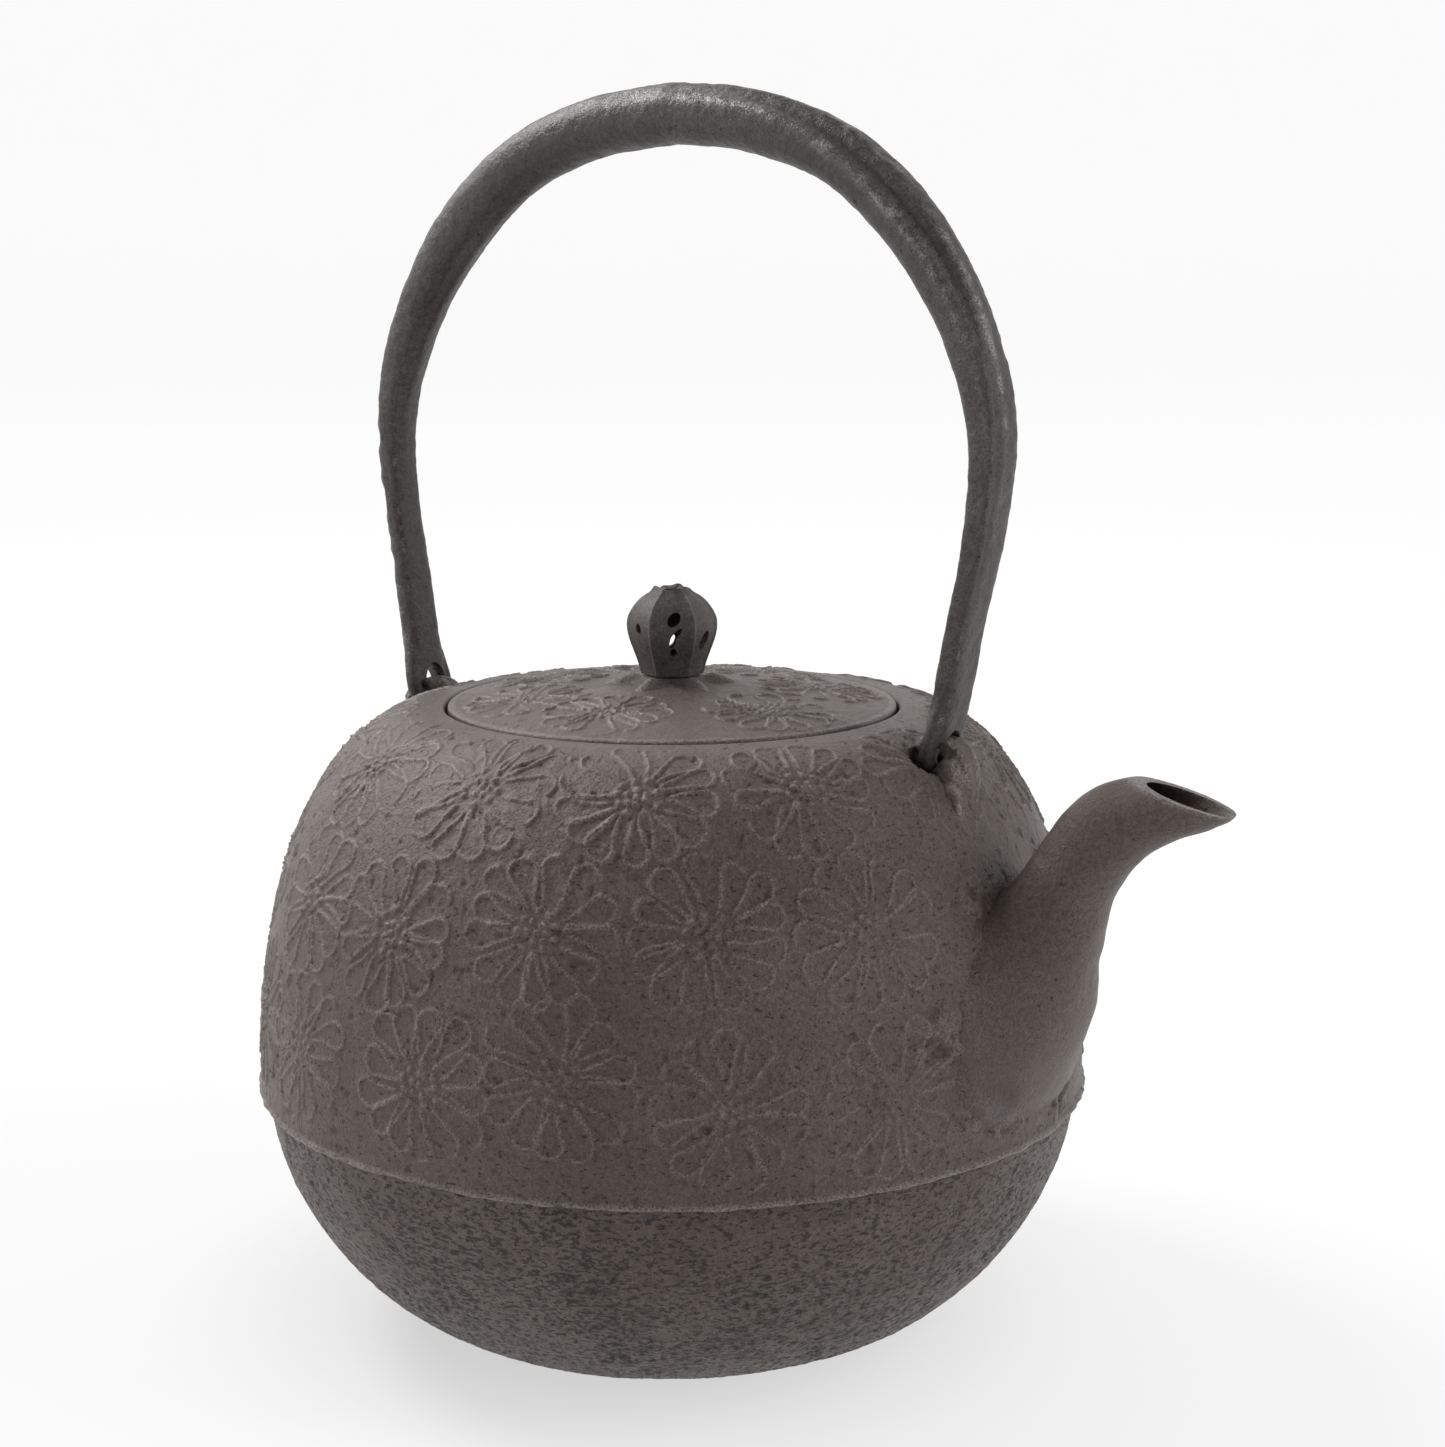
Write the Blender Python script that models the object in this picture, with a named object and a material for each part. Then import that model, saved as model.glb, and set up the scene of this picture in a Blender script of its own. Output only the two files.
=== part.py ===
"""Cast-iron kettle: forged arched handle, lid with a pierced knob, and a drop-in steel infuser basket.

Lengths are in millimetres until mesh_object() scales them to metres. +Z is up, +X points to the spout,
and the origin is the centre of the flat foot.
"""

import math

import bmesh
import bpy
import numpy as np

MM = 0.001
GAP = 0.3

# Belly: two rounded curves that meet at the waist, each (flat radius, waist radius, height, roundness).
WAIST_Z = 47.5
UPPER = (45.4, 80.0, 72.1, 2.14)
LOWER = (36.0, 78.6, 47.5, 1.77)
UPPER_INSIDE = (42.0, 76.2, 65.3, 2.4)
LOWER_INSIDE = (34.0, 75.0, 43.5, 1.77)
FLOOR = 4.0
BODY_SIDES = 48

# Mouth: the lid lies in a recess, on a ledge that also carries the basket's rim.
LID_Z = 120.0
LIP_Z = 119.8
RECESS_R = 43.6
MOUTH_R = 38.6
LEDGE_Z = 116.8
NECK_Z = 112.8

# Spout stations along its middle line: x, z, half height in the XZ plane, half width along Y.
SPOUT = (
    (64.0, 62.5, 19.0, 22.0),
    (72.4, 72.5, 17.9, 20.8),
    (76.3, 76.5, 14.6, 16.9),
    (81.0, 85.9, 10.4, 11.3),
    (86.4, 97.9, 8.1, 8.2),
    (93.7, 107.1, 7.7, 7.3),
    (102.9, 111.4, 6.1, 5.7),
    (110.4, 114.1, 5.6, 5.0),
    (113.8, 115.3, 4.9, 4.1),
    (115.3, 115.9, 3.6, 2.8),
)
SPOUT_ROOT_WALL = 3.2
SPOUT_MOUTH_WALL = 1.1
SPOUT_BACK_LIP = (96.3, 116.1)
SPOUT_TIP = (114.9, 111.3)

# Lugs: outline in the XZ plane of the spout's side, thickness along Y, and the hole (eye) along Y.
LUG_OUTLINE = (
    (53.6, 112.0),
    (53.6, 117.6),
    (55.8, 118.8),
    (58.6, 119.1),
    (61.4, 118.2),
    (64.0, 114.6),
    (66.2, 109.2),
    (67.2, 104.8),
    (62.0, 104.0),
)
LUG_HALF_Y = 2.8
EYE_X = 59.4
EYE_Z = 115.5
EYE_R = 2.4
POCKET_HALF_Y = 7.8

# Handle stations from its top to a leg's end: x, z, half thickness, half width along Y.
HANDLE = (
    (0.0, 230.2, 5.6, 6.2),
    (18.0, 228.1, 5.6, 6.0),
    (34.8, 222.2, 5.5, 5.7),
    (51.8, 208.2, 5.4, 5.5),
    (62.4, 192.0, 4.5, 5.2),
    (68.0, 173.8, 3.3, 5.0),
    (67.3, 157.0, 2.6, 4.7),
    (64.1, 140.0, 2.3, 4.4),
    (60.7, 121.2, 2.1, 4.3),
)
HANDLE_LEAN = 0.02
HANDLE_LEAN_Z = 165.0
HANDLE_WALL = 1.3
PRONG_R = (1.6, 1.35)
PRONG_PATH = (
    (62.0, 2.8, 129.0),
    (60.8, 4.3, 121.5),
    (59.9, 4.9, 118.0),
    (59.4, 4.3, 115.8),
    (59.4, 1.0, 115.5),
)

# Lid: domed disc with a locating ring below.
LID_R = 43.0
LID_DOME = 4.0
LID_EDGE = 2.0
LID_RING = (34.0, 36.4)
LID_RING_Z = 110.5
RIVET_HOLE_R = 2.2

# Knob on its seat, held by one rivet.
SEAT_Z = 124.4
SEAT_TOP_Z = 125.2
SEAT_R = 10.2
SEAT_POINTS = 12
KNOB_FLOOR_Z = 125.5
KNOB_OUTLINE = (
    (5.6, 125.5),
    (6.6, 129.3),
    (7.9, 132.4),
    (8.2, 134.8),
    (7.4, 137.8),
    (5.5, 140.1),
    (3.2, 141.5),
    (2.7, 142.3),
)
KNOB_INSIDE = (
    (3.9, 127.1),
    (4.9, 130.0),
    (6.2, 132.8),
    (6.5, 134.8),
    (5.8, 137.0),
    (3.9, 138.9),
    (1.3, 140.0),
)
KNOB_TURN = math.radians(-55.0)
KNOB_PANELS = 6
KNOB_RIB = 0.35
PANEL_HOLE_R = 1.4
PANEL_HOLE_Z = 137.0
KNOB_SLOT = (0.9, 131.4, 134.6)
RIVET_R = 1.9
RIVET_HEAD_R = 3.2
WASHER_R = 5.2

# Basket: rim on the ledge, thin wall, bottom and foot ring.
BASKET_RIM_R = 42.8
BASKET_RIM_T = 0.6
BASKET_R = 37.3
BASKET_T = 0.5
BASKET_BOTTOM_Z = 73.0
FOOT_RING_R = 37.9


def clear_scene():
    for old in list(bpy.data.objects):
        bpy.data.objects.remove(old)


def finish_material(name, colour, metallic, roughness):
    made = bpy.data.materials.new(name)
    made.use_nodes = True
    shader = made.node_tree.nodes["Principled BSDF"]
    shader.inputs["Base Color"].default_value = (*colour, 1.0)
    shader.inputs["Metallic"].default_value = metallic
    shader.inputs["Roughness"].default_value = roughness
    return made


def mesh_object(name, points, faces, material, origin=(0, 0, 0), cutter=False):
    """A mesh object from points in millimetres, with its own origin, and its faces turned outward."""
    origin = np.array(origin, float)
    mesh = bpy.data.meshes.new(name)
    mesh.from_pydata(((np.array(points, float) - origin) * MM).tolist(), [], faces)
    work = bmesh.new()
    work.from_mesh(mesh)
    bmesh.ops.recalc_face_normals(work, faces=work.faces)
    if work.calc_volume(signed=True) < 0:
        bmesh.ops.reverse_faces(work, faces=work.faces)
    work.to_mesh(mesh)
    work.free()
    made = bpy.data.objects.new(name, mesh)
    made.location = origin * MM
    bpy.context.scene.collection.objects.link(made)
    if cutter:
        made.hide_render = True
        made.display_type = "WIRE"
    else:
        mesh.materials.append(material)
        mesh.shade_smooth()
        mesh.set_sharp_from_angle(angle=math.radians(35))
    return made


def boolean(target, other, operation):
    step = target.modifiers.new(f"{operation}_{other.name}", "BOOLEAN")
    step.operation = operation
    step.object = other
    step.solver = "EXACT"
    other.parent = target
    other.matrix_parent_inverse = target.matrix_basis.inverted()


def ring_faces(rows, count, closed):
    """Quads between neighbouring rows of count points; closed joins the last row to the first."""
    faces = []
    for row in range(rows if closed else rows - 1):
        after = (row + 1) % rows
        for side in range(count):
            other = (side + 1) % count
            lower = (row * count + side, row * count + other)
            upper = (after * count + other, after * count + side)
            faces.append(lower + upper)
    return faces


def turned(name, profile, sides, material, **options):
    """A solid of revolution about Z. The profile either closes on itself or has both ends on the axis."""
    solid_ends = profile[0][0] == 0
    rows = profile[1:-1] if solid_ends else profile
    points = []
    for radius, height in rows:
        for side in range(sides):
            angle = 2 * math.pi * side / sides
            points.append((radius * math.cos(angle), radius * math.sin(angle), height))
    faces = ring_faces(len(rows), sides, closed=not solid_ends)
    if solid_ends:
        for row, (_, height) in ((0, profile[0]), (len(rows) - 1, profile[-1])):
            points.append((0, 0, height))
            start = row * sides
            faces += [(len(points) - 1, start + s, start + (s + 1) % sides) for s in range(sides)]
    return mesh_object(name, points, faces, material, **options)


def lofted(name, rings, material, closed=False, **options):
    """A skin over rings of equal point counts: capped at both ends, or closed into a loop of rings."""
    count = len(rings[0])
    points = [p for ring in rings for p in ring]
    faces = ring_faces(len(rings), count, closed)
    if not closed:
        faces.append(tuple(range(count)))
        faces.append(tuple(range(len(points) - count, len(points))))
    return mesh_object(name, points, faces, material, **options)


def rounded_curve(shape, steps, grow=0.0, first=0.0):
    """(radius, rise) along a rounded quarter curve, from its waist to its flat."""
    flat_r, waist_r, height, power = shape
    curve = []
    for step in range(steps + 1):
        angle = first + (math.pi / 2 - first) * step / steps
        radius = flat_r + (waist_r - flat_r) * max(math.cos(angle), 0.0) ** (2 / power)
        curve.append((radius + grow, (height + grow) * math.sin(angle) ** (2 / power)))
    return curve


def belly_outline(grow=0.0):
    """The belly's outer profile, from its foot to the shoulder."""
    below = [(r, WAIST_Z - rise) for r, rise in rounded_curve(LOWER, 10, grow)][::-1]
    above = [(r, WAIST_Z + rise) for r, rise in rounded_curve(UPPER, 13, grow)]
    return below + above


def smooth_stations(stations, steps):
    """Stations joined by a Catmull-Rom curve, with steps points in each stretch."""
    known = np.array(stations, float)
    ends = np.vstack([2 * known[0] - known[1], known, 2 * known[-1] - known[-2]])
    out = []
    for index in range(1, len(ends) - 2):
        before, start, end, after = ends[index - 1 : index + 3]
        for step in range(steps):
            t = step / steps
            straight = 2 * start + (end - before) * t
            bend = (2 * before - 5 * start + 4 * end - after) * t**2
            twist = (3 * start - before - 3 * end + after) * t**3
            out.append((straight + bend + twist) / 2)
    return np.array(out + [known[-1]])


def section_rings(path, sides, inset=0.0, power=2.0):
    """Oval rings square to a path in the XZ plane. inset is a number, or one for each station."""
    tangents = np.gradient(path[:, :2], axis=0)
    tangents /= np.linalg.norm(tangents, axis=1)[:, None]
    insets = np.broadcast_to(inset, len(path))
    rings = []
    for (x, z, half_thick, half_wide), (tx, tz), wall in zip(path, tangents, insets):
        ring = []
        for side in range(sides):
            angle = 2 * math.pi * side / sides
            across = math.copysign(abs(math.cos(angle)) ** (2 / power), math.cos(angle))
            along_y = math.copysign(abs(math.sin(angle)) ** (2 / power), math.sin(angle))
            thick = (half_thick - wall) * across
            ring.append((x - tz * thick, (half_wide - wall) * along_y, z + tx * thick))
        rings.append(ring)
    return rings


def round_bar(name, path, radii, sides, origin):
    """A round bar along a smooth path in space, used as a helper that a Boolean joins."""
    line = smooth_stations(path, 3)
    tangents = np.gradient(line, axis=0)
    rings = []
    for index, (centre, tangent) in enumerate(zip(line, tangents)):
        tangent = tangent / np.linalg.norm(tangent)
        first = np.cross(tangent, (1.0, 0.0, 0.0))
        first /= np.linalg.norm(first)
        second = np.cross(tangent, first)
        radius = radii[0] + (radii[1] - radii[0]) * index / (len(line) - 1)
        turn = [2 * math.pi * side / sides for side in range(sides)]
        rings.append([centre + radius * (math.cos(a) * first + math.sin(a) * second) for a in turn])
    return lofted(name, rings, None, origin=origin, cutter=True)


def side_cylinder(name, centre, radius, half_length, direction, sides, origin=(0, 0, 0)):
    """A horizontal cylinder cutter through centre, lying along direction (radians from +X)."""
    axis = np.array((math.cos(direction), math.sin(direction), 0.0))
    across = np.array((-axis[1], axis[0], 0.0))
    rings = []
    for end in (-1, 1):
        ring = []
        for side in range(sides):
            angle = 2 * math.pi * side / sides
            offset = radius * (math.cos(angle) * across + math.sin(angle) * np.array((0, 0, 1.0)))
            ring.append(np.array(centre) + end * half_length * axis + offset)
        rings.append(ring)
    return lofted(name, rings, None, origin=origin, cutter=True)


def spout_path():
    return smooth_stations(SPOUT, 3)


def spout_channel():
    """Rings of the spout's bore, which starts inside the belly and runs on out of the mouth."""
    path = smooth_stations(SPOUT[:-2], 3)
    walls = np.linspace(SPOUT_ROOT_WALL, SPOUT_MOUTH_WALL, len(path))
    ends = []
    for end, inner, reach in ((0, 1, 6), (-1, -2, 10)):
        away = path[end, :2] - path[inner, :2]
        station = path[end].copy()
        station[:2] += reach * away / np.linalg.norm(away)
        ends.append(station)
    path = np.vstack([ends[0], path, ends[1]])
    walls = np.concatenate([[walls[0]], walls, [walls[-1]]])
    return section_rings(path, 16, inset=walls)


def make_pot_body(iron):
    outside = belly_outline()
    inside = [(r, WAIST_Z + rise) for r, rise in rounded_curve(UPPER_INSIDE, 7)][::-1]
    inside += [(r, WAIST_Z - rise) for r, rise in rounded_curve(LOWER_INSIDE, 6, first=0.25)]
    mouth = [
        (45.6, LIP_Z),
        (44.0, LIP_Z),
        (RECESS_R, LIP_Z - 0.4),
        (RECESS_R, LEDGE_Z),
        (MOUTH_R, LEDGE_Z),
        (MOUTH_R, NECK_Z),
    ]
    profile = [(0, 0)] + outside[:-1] + mouth + inside + [(0, FLOOR)]
    body = turned("pot_body", profile, BODY_SIDES, iron)
    boolean(body, lofted("cut_spout_bore", spout_channel(), None, cutter=True), "DIFFERENCE")
    for sign, side in ((1, "front"), (-1, "rear")):
        centre = eye_centre(sign)
        pocket = side_cylinder(f"cut_pocket_{side}", centre, EYE_R, POCKET_HALF_Y, math.pi / 2, 12)
        boolean(body, pocket, "DIFFERENCE")
    return body


def lean(height):
    """How far the handle's hand-set arch leans towards the spout at a height."""
    return HANDLE_LEAN * (height - HANDLE_LEAN_Z)


def eye_centre(sign):
    """The middle of a lug's eye, on the line that the handle rocks about."""
    return (sign * EYE_X + lean(EYE_Z), 0, EYE_Z)


def belly_cutter(name):
    """The solid that the belly fills, grown by the gap that neighbours keep to it."""
    outline = [(r, z) for r, z in belly_outline(GAP)]
    return turned(name, [(0, -5)] + outline + [(0, outline[-1][1])], BODY_SIDES, None, cutter=True)


def make_spout(iron, belly):
    outer = lofted("spout", section_rings(spout_path(), 20), iron)
    boolean(outer, lofted("cut_spout_channel", spout_channel(), None, cutter=True), "DIFFERENCE")
    # The mouth is sawn off by a sloping plane through the back lip and the tip.
    (back_x, back_z), (tip_x, tip_z) = SPOUT_BACK_LIP, SPOUT_TIP
    slope = np.array((tip_x - back_x, 0.0, tip_z - back_z))
    slope /= np.linalg.norm(slope)
    up = np.array((-slope[2], 0.0, slope[0]))
    start = np.array((back_x, 0.0, back_z)) - 2 * slope
    wide = np.array((0.0, 15.0, 0.0))
    low = [start - wide, start + 40 * slope - wide, start + 40 * slope + wide, start + wide]
    block = lofted("cut_spout_mouth", [low, [p + 25 * up for p in low]], None, cutter=True)
    boolean(outer, block, "DIFFERENCE")
    boolean(outer, belly, "DIFFERENCE")
    return outer


def make_lug(name, sign, iron, belly):
    ring = [(sign * x, z) for x, z in LUG_OUTLINE]
    sides = [[(x, y, z) for x, z in ring] for y in (-LUG_HALF_Y, LUG_HALF_Y)]
    lug = lofted(name, sides, iron)
    rounded = lug.modifiers.new("round_edges", "BEVEL")
    rounded.width = 0.9 * MM
    rounded.segments = 2
    rounded.limit_method = "ANGLE"
    rounded.angle_limit = math.radians(60)
    eye = side_cylinder(f"cut_{name}_eye", eye_centre(sign), EYE_R, 6, math.pi / 2, 12)
    boolean(lug, eye, "DIFFERENCE")
    boolean(lug, belly, "DIFFERENCE")
    return lug


def handle_path():
    half = smooth_stations(HANDLE, 3)
    mirrored = half[:0:-1].copy()
    mirrored[:, 0] *= -1
    path = np.vstack([mirrored, half])
    path[:, 0] += lean(path[:, 1])
    return path


def make_handle(iron):
    origin = (0, 0, EYE_Z)
    path = handle_path()
    handle = lofted("handle", section_rings(path, 14, power=2.4), iron, origin=origin)
    bore = path.copy()
    for end, inner in ((0, 1), (-1, -2)):
        run = bore[end, :2] - bore[inner, :2]
        bore[end, :2] += 2 * run / np.linalg.norm(run)
    hollow = section_rings(bore, 8, inset=HANDLE_WALL, power=2.4)
    boolean(handle, lofted("cut_handle_bore", hollow, None, origin=origin, cutter=True), "DIFFERENCE")
    for x_sign, x_name in ((1, "front"), (-1, "rear")):
        for y_sign, y_name in ((1, "left"), (-1, "right")):
            points = [(x_sign * x + lean(z), y_sign * y, z) for x, y, z in PRONG_PATH]
            prong = round_bar(f"prong_{x_name}_{y_name}", points, PRONG_R, 8, origin)
            boolean(handle, prong, "UNION")
    return handle


def dome(radius):
    return LID_Z + LID_DOME * (1 - (radius / LID_R) ** 2)


def make_lid(iron):
    top = [(r, dome(r)) for r in (42.4, 38.0, 32.0, 25.0, 17.0, 10.5, RIVET_HOLE_R)]
    under = [(r, dome(r) - 2.6) for r in (RIVET_HOLE_R, 10.5, 20.0, 29.0, LID_RING[0])]
    ring = [(LID_RING[0], LID_RING_Z), (LID_RING[1], LID_RING_Z), (LID_RING[1], LID_Z - LID_EDGE)]
    rim = [(LID_R - 0.2, LID_Z - LID_EDGE), (LID_R, LID_Z - 0.5)]
    return turned("lid", top + under + ring + rim, 40, iron)


def star_ring(radius, height, spread, points):
    """A ring of 2 * points corners whose radius swings by spread."""
    ring = []
    for corner in range(2 * points):
        angle = math.pi * corner / points
        reach = radius + (spread if corner % 2 == 0 else -spread)
        ring.append((reach * math.cos(angle), reach * math.sin(angle), height))
    return ring


def make_knob_seat(iron):
    """A star washer: ridges run from the knob's neck out to the lid."""
    rings = [
        star_ring(RIVET_HOLE_R, SEAT_TOP_Z, 0, SEAT_POINTS),
        star_ring(6.2, SEAT_TOP_Z, 0.2, SEAT_POINTS),
        star_ring(SEAT_R - 1.2, SEAT_Z + 0.2, 0.9, SEAT_POINTS),
        star_ring(SEAT_R - 1.2, dome(SEAT_R) + GAP + 0.1, 0.9, SEAT_POINTS),
        star_ring(RIVET_HOLE_R, SEAT_Z - 0.05, 0, SEAT_POINTS),
    ]
    return lofted("knob_seat", rings, iron, closed=True)


def panelled(outline, rib):
    """Rings for the bud: six flats with a rib between each pair."""
    sides = KNOB_PANELS * 6
    rings = []
    for radius, height in outline:
        ring = []
        for side in range(sides):
            angle = 2 * math.pi * side / sides
            on_rib = side % 6 == 3
            flat = 1 - 0.035 * math.cos(KNOB_PANELS * angle)
            reach = radius * flat + (rib * min(radius / 6, 1) if on_rib else 0)
            ring.append((reach * math.cos(angle + KNOB_TURN), reach * math.sin(angle + KNOB_TURN), height))
        rings.append(ring)
    return rings


def make_knob(iron):
    crown = (KNOB_INSIDE[-1][0], KNOB_OUTLINE[-1][1])
    inside = [(RIVET_HOLE_R, KNOB_FLOOR_Z), (RIVET_HOLE_R, KNOB_INSIDE[0][1]), *KNOB_INSIDE, crown]
    rings = panelled(KNOB_OUTLINE, KNOB_RIB) + panelled(inside, 0.0)[::-1]
    knob = lofted("knob", rings, iron, closed=True)
    for panel in range(KNOB_PANELS // 2):
        angle = KNOB_TURN + panel * 2 * math.pi / KNOB_PANELS
        hole = side_cylinder(f"cut_knob_hole_{panel}", (0, 0, PANEL_HOLE_Z), PANEL_HOLE_R, 12, angle, 10)
        boolean(knob, hole, "DIFFERENCE")
    half_width, low, high = KNOB_SLOT
    along = np.array((math.cos(KNOB_TURN), math.sin(KNOB_TURN), 0.0)) * 12
    across = np.array((-math.sin(KNOB_TURN), math.cos(KNOB_TURN), 0.0)) * half_width
    corners = [-along - across, along - across, along + across, -along + across]
    slot_rings = [[corner + (0, 0, height) for corner in corners] for height in (low, high)]
    boolean(knob, lofted("cut_knob_slot", slot_rings, None, cutter=True), "DIFFERENCE")
    return knob


def make_rivet(iron):
    under_lid = dome(0) - 2.6
    profile = [
        (0, 128.6),
        (2.0, 128.5),
        (RIVET_HEAD_R, 127.9),
        (RIVET_HEAD_R, 127.3),
        (RIVET_R, 127.3),
        (RIVET_R, under_lid - 1.5),
        (RIVET_HEAD_R, under_lid - 1.5),
        (RIVET_HEAD_R, under_lid - 2.1),
        (2.0, under_lid - 2.7),
        (0, under_lid - 2.8),
    ]
    return turned("knob_rivet", profile, 16, iron)


def make_rivet_washer(iron):
    top = dome(WASHER_R) - 2.6 - GAP
    profile = [(RIVET_HOLE_R, top), (WASHER_R, top), (WASHER_R, top - 0.8), (RIVET_HOLE_R, top - 0.8)]
    return turned("rivet_washer", profile, 20, iron)


def make_basket(steel):
    rim_low = LEDGE_Z + GAP
    rim_top = rim_low + BASKET_RIM_T
    inner = BASKET_R - BASKET_T
    collar_low = rim_low - 7.0
    rim = turned(
        "basket_rim",
        [
            (inner, rim_top),
            (BASKET_RIM_R, rim_top),
            (BASKET_RIM_R, rim_low),
            (BASKET_R, rim_low),
            (BASKET_R, collar_low),
            (inner, collar_low),
        ],
        36,
        steel,
    )
    wall_top = collar_low - GAP
    wall_low = BASKET_BOTTOM_Z + 0.6 + GAP
    wall = turned(
        "basket_wall",
        [(inner, wall_top), (BASKET_R, wall_top), (BASKET_R, wall_low), (inner, wall_low)],
        36,
        steel,
    )
    bottom_r = inner - 1.2
    bottom = turned(
        "basket_bottom",
        [
            (0, BASKET_BOTTOM_Z + 1.1),
            (bottom_r, BASKET_BOTTOM_Z + 1.1),
            (bottom_r, BASKET_BOTTOM_Z + 0.6),
            (0, BASKET_BOTTOM_Z + 0.6),
        ],
        36,
        steel,
    )
    foot = turned(
        "basket_foot_ring",
        [
            (bottom_r - 2.0, BASKET_BOTTOM_Z + 0.3),
            (bottom_r - 2.0, BASKET_BOTTOM_Z - 0.3),
            (FOOT_RING_R, BASKET_BOTTOM_Z - 0.3),
            (FOOT_RING_R, BASKET_BOTTOM_Z + 3.4),
            (BASKET_R + GAP, BASKET_BOTTOM_Z + 3.4),
            (BASKET_R + GAP, BASKET_BOTTOM_Z + 0.3),
        ],
        36,
        steel,
    )
    return [rim, wall, bottom, foot]


def ride_on(name, height, pieces):
    """An empty on a joint's axis that carries its pieces."""
    carrier = bpy.data.objects.new(name, None)
    carrier.location = (0, 0, height * MM)
    bpy.context.scene.collection.objects.link(carrier)
    for piece in pieces:
        piece.parent = carrier
        piece.matrix_parent_inverse = carrier.matrix_basis.inverted()
    return carrier


def main():
    clear_scene()
    body_iron = finish_material("iron_body", (0.115, 0.094, 0.085), 0.35, 0.62)
    handle_iron = finish_material("iron_handle", (0.075, 0.07, 0.066), 0.45, 0.5)
    knob_iron = finish_material("iron_knob", (0.05, 0.047, 0.045), 0.45, 0.5)
    steel = finish_material("stainless", (0.55, 0.55, 0.54), 1.0, 0.3)

    make_pot_body(body_iron)
    belly = belly_cutter("cut_belly")
    make_spout(body_iron, belly)
    make_lug("front_lug", 1, body_iron, belly)
    make_lug("rear_lug", -1, body_iron, belly)
    belly.parent = None

    ride_on("handle_axis", EYE_Z, [make_handle(handle_iron)])
    lid_pieces = [
        make_lid(body_iron),
        make_knob_seat(knob_iron),
        make_rivet(knob_iron),
        make_rivet_washer(knob_iron),
    ]
    lid_axis = ride_on("lid_axis", LID_Z, lid_pieces)
    knob_axis = ride_on("knob_axis", KNOB_FLOOR_Z, [make_knob(knob_iron)])
    knob_axis.parent = lid_axis
    knob_axis.matrix_parent_inverse = lid_axis.matrix_basis.inverted()
    ride_on("basket_axis", LEDGE_Z, make_basket(steel))


main()
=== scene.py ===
"""Looks of a cast-iron kettle with an infuser basket: detailed pieces, materials, light and camera.

Sizes are in millimetres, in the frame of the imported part: +Z up, spout towards +X, origin under the foot.
"""

import math

import bmesh
import bpy
import numpy as np
from mathutils import Matrix, Vector


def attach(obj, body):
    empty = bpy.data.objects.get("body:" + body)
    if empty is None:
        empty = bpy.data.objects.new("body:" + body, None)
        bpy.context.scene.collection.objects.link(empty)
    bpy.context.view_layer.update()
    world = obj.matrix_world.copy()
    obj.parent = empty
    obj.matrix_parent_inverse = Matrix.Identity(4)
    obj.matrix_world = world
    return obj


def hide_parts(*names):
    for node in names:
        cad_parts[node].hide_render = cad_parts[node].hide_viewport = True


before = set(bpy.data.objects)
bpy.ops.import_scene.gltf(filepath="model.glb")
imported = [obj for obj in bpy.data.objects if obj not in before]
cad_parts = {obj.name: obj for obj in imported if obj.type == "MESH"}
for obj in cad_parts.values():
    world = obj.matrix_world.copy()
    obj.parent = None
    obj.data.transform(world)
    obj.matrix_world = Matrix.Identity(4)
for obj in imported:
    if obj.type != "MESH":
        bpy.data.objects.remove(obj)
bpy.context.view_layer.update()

MM = 0.001

# Belly: (flat radius, waist radius, height, roundness) of the curves above and below the waist.
WAIST_Z = 47.5
UPPER = (45.4, 80.0, 72.1, 2.14)
LOWER = (36.0, 78.6, 47.5, 1.77)
UPPER_INSIDE = (42.0, 76.2, 65.3, 2.4)
LOWER_INSIDE = (34.0, 75.0, 43.5, 1.77)
FLOOR_Z = 4.0
LIP_Z = 119.8
RECESS_R = 43.6
LEDGE_Z = 116.8
MOUTH_R = 38.6
NECK_Z = 112.8
BELLY_SIDES = 1152
UPPER_STEP = 0.38
LOWER_STEP = 0.62
INSIDE_STEP = 7.0

# Flower relief: rows of (height, flowers round the belly, angle of the first in degrees).
FLOWER_ROWS = ((113.6, 13, -88.0), (92.5, 16, -96.0), (65.5, 18, -109.5))
# The mould was pressed by hand: (row, flower) -> how far it strays, in degrees round and millimetres up.
FLOWER_STRAYS = {
    (1, 0): (0.0, -2.9),
    (1, 3): (0.0, -1.5),
    (1, 15): (3.0, -3.0),
    (2, 0): (-2.6, 0.0),
    (2, 1): (1.3, 0.0),
    (2, 2): (0.5, 4.2),
    (2, 3): (1.9, -1.0),
    (2, 4): (2.5, -2.2),
}
FLOWER_R = 14.2
PETALS = 13
LINE_HEIGHT = 0.42
LINE_WIDTH = 0.27
DOT_HEIGHT = 0.9
# How deep the bowl's pits and the upper skin's chips are.
PIT_DEPTH = 0.3
CHIP_DEPTH = 0.26

# Spout stations along its middle line: x, z, half height in the XZ plane, half width along Y.
SPOUT = (
    (60.0, 59.0, 20.0, 23.2),
    (69.0, 69.0, 18.0, 21.6),
    (76.3, 77.0, 14.4, 17.0),
    (81.0, 85.9, 10.4, 11.3),
    (86.4, 97.9, 8.1, 8.2),
    (93.7, 107.1, 7.7, 7.3),
    (102.9, 111.4, 6.1, 5.7),
    (110.4, 114.1, 5.6, 5.0),
    (113.6, 115.2, 4.7, 4.1),
    (114.8, 115.7, 3.6, 2.9),
)
SPOUT_ROOT_WALL = 3.2
SPOUT_MOUTH_WALL = 1.1
SPOUT_BACK_LIP = (96.3, 116.1)
SPOUT_TIP = (114.9, 111.3)
ROOT_CENTRE = (0.0, 75.0)
ROOT_HALF = (23.0, 20.2)
# Middle and half size in y and z of the metal spilt at the root's lower corner.
SPILT = ((-16, 57.5), (5.5, 4.5))

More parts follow.
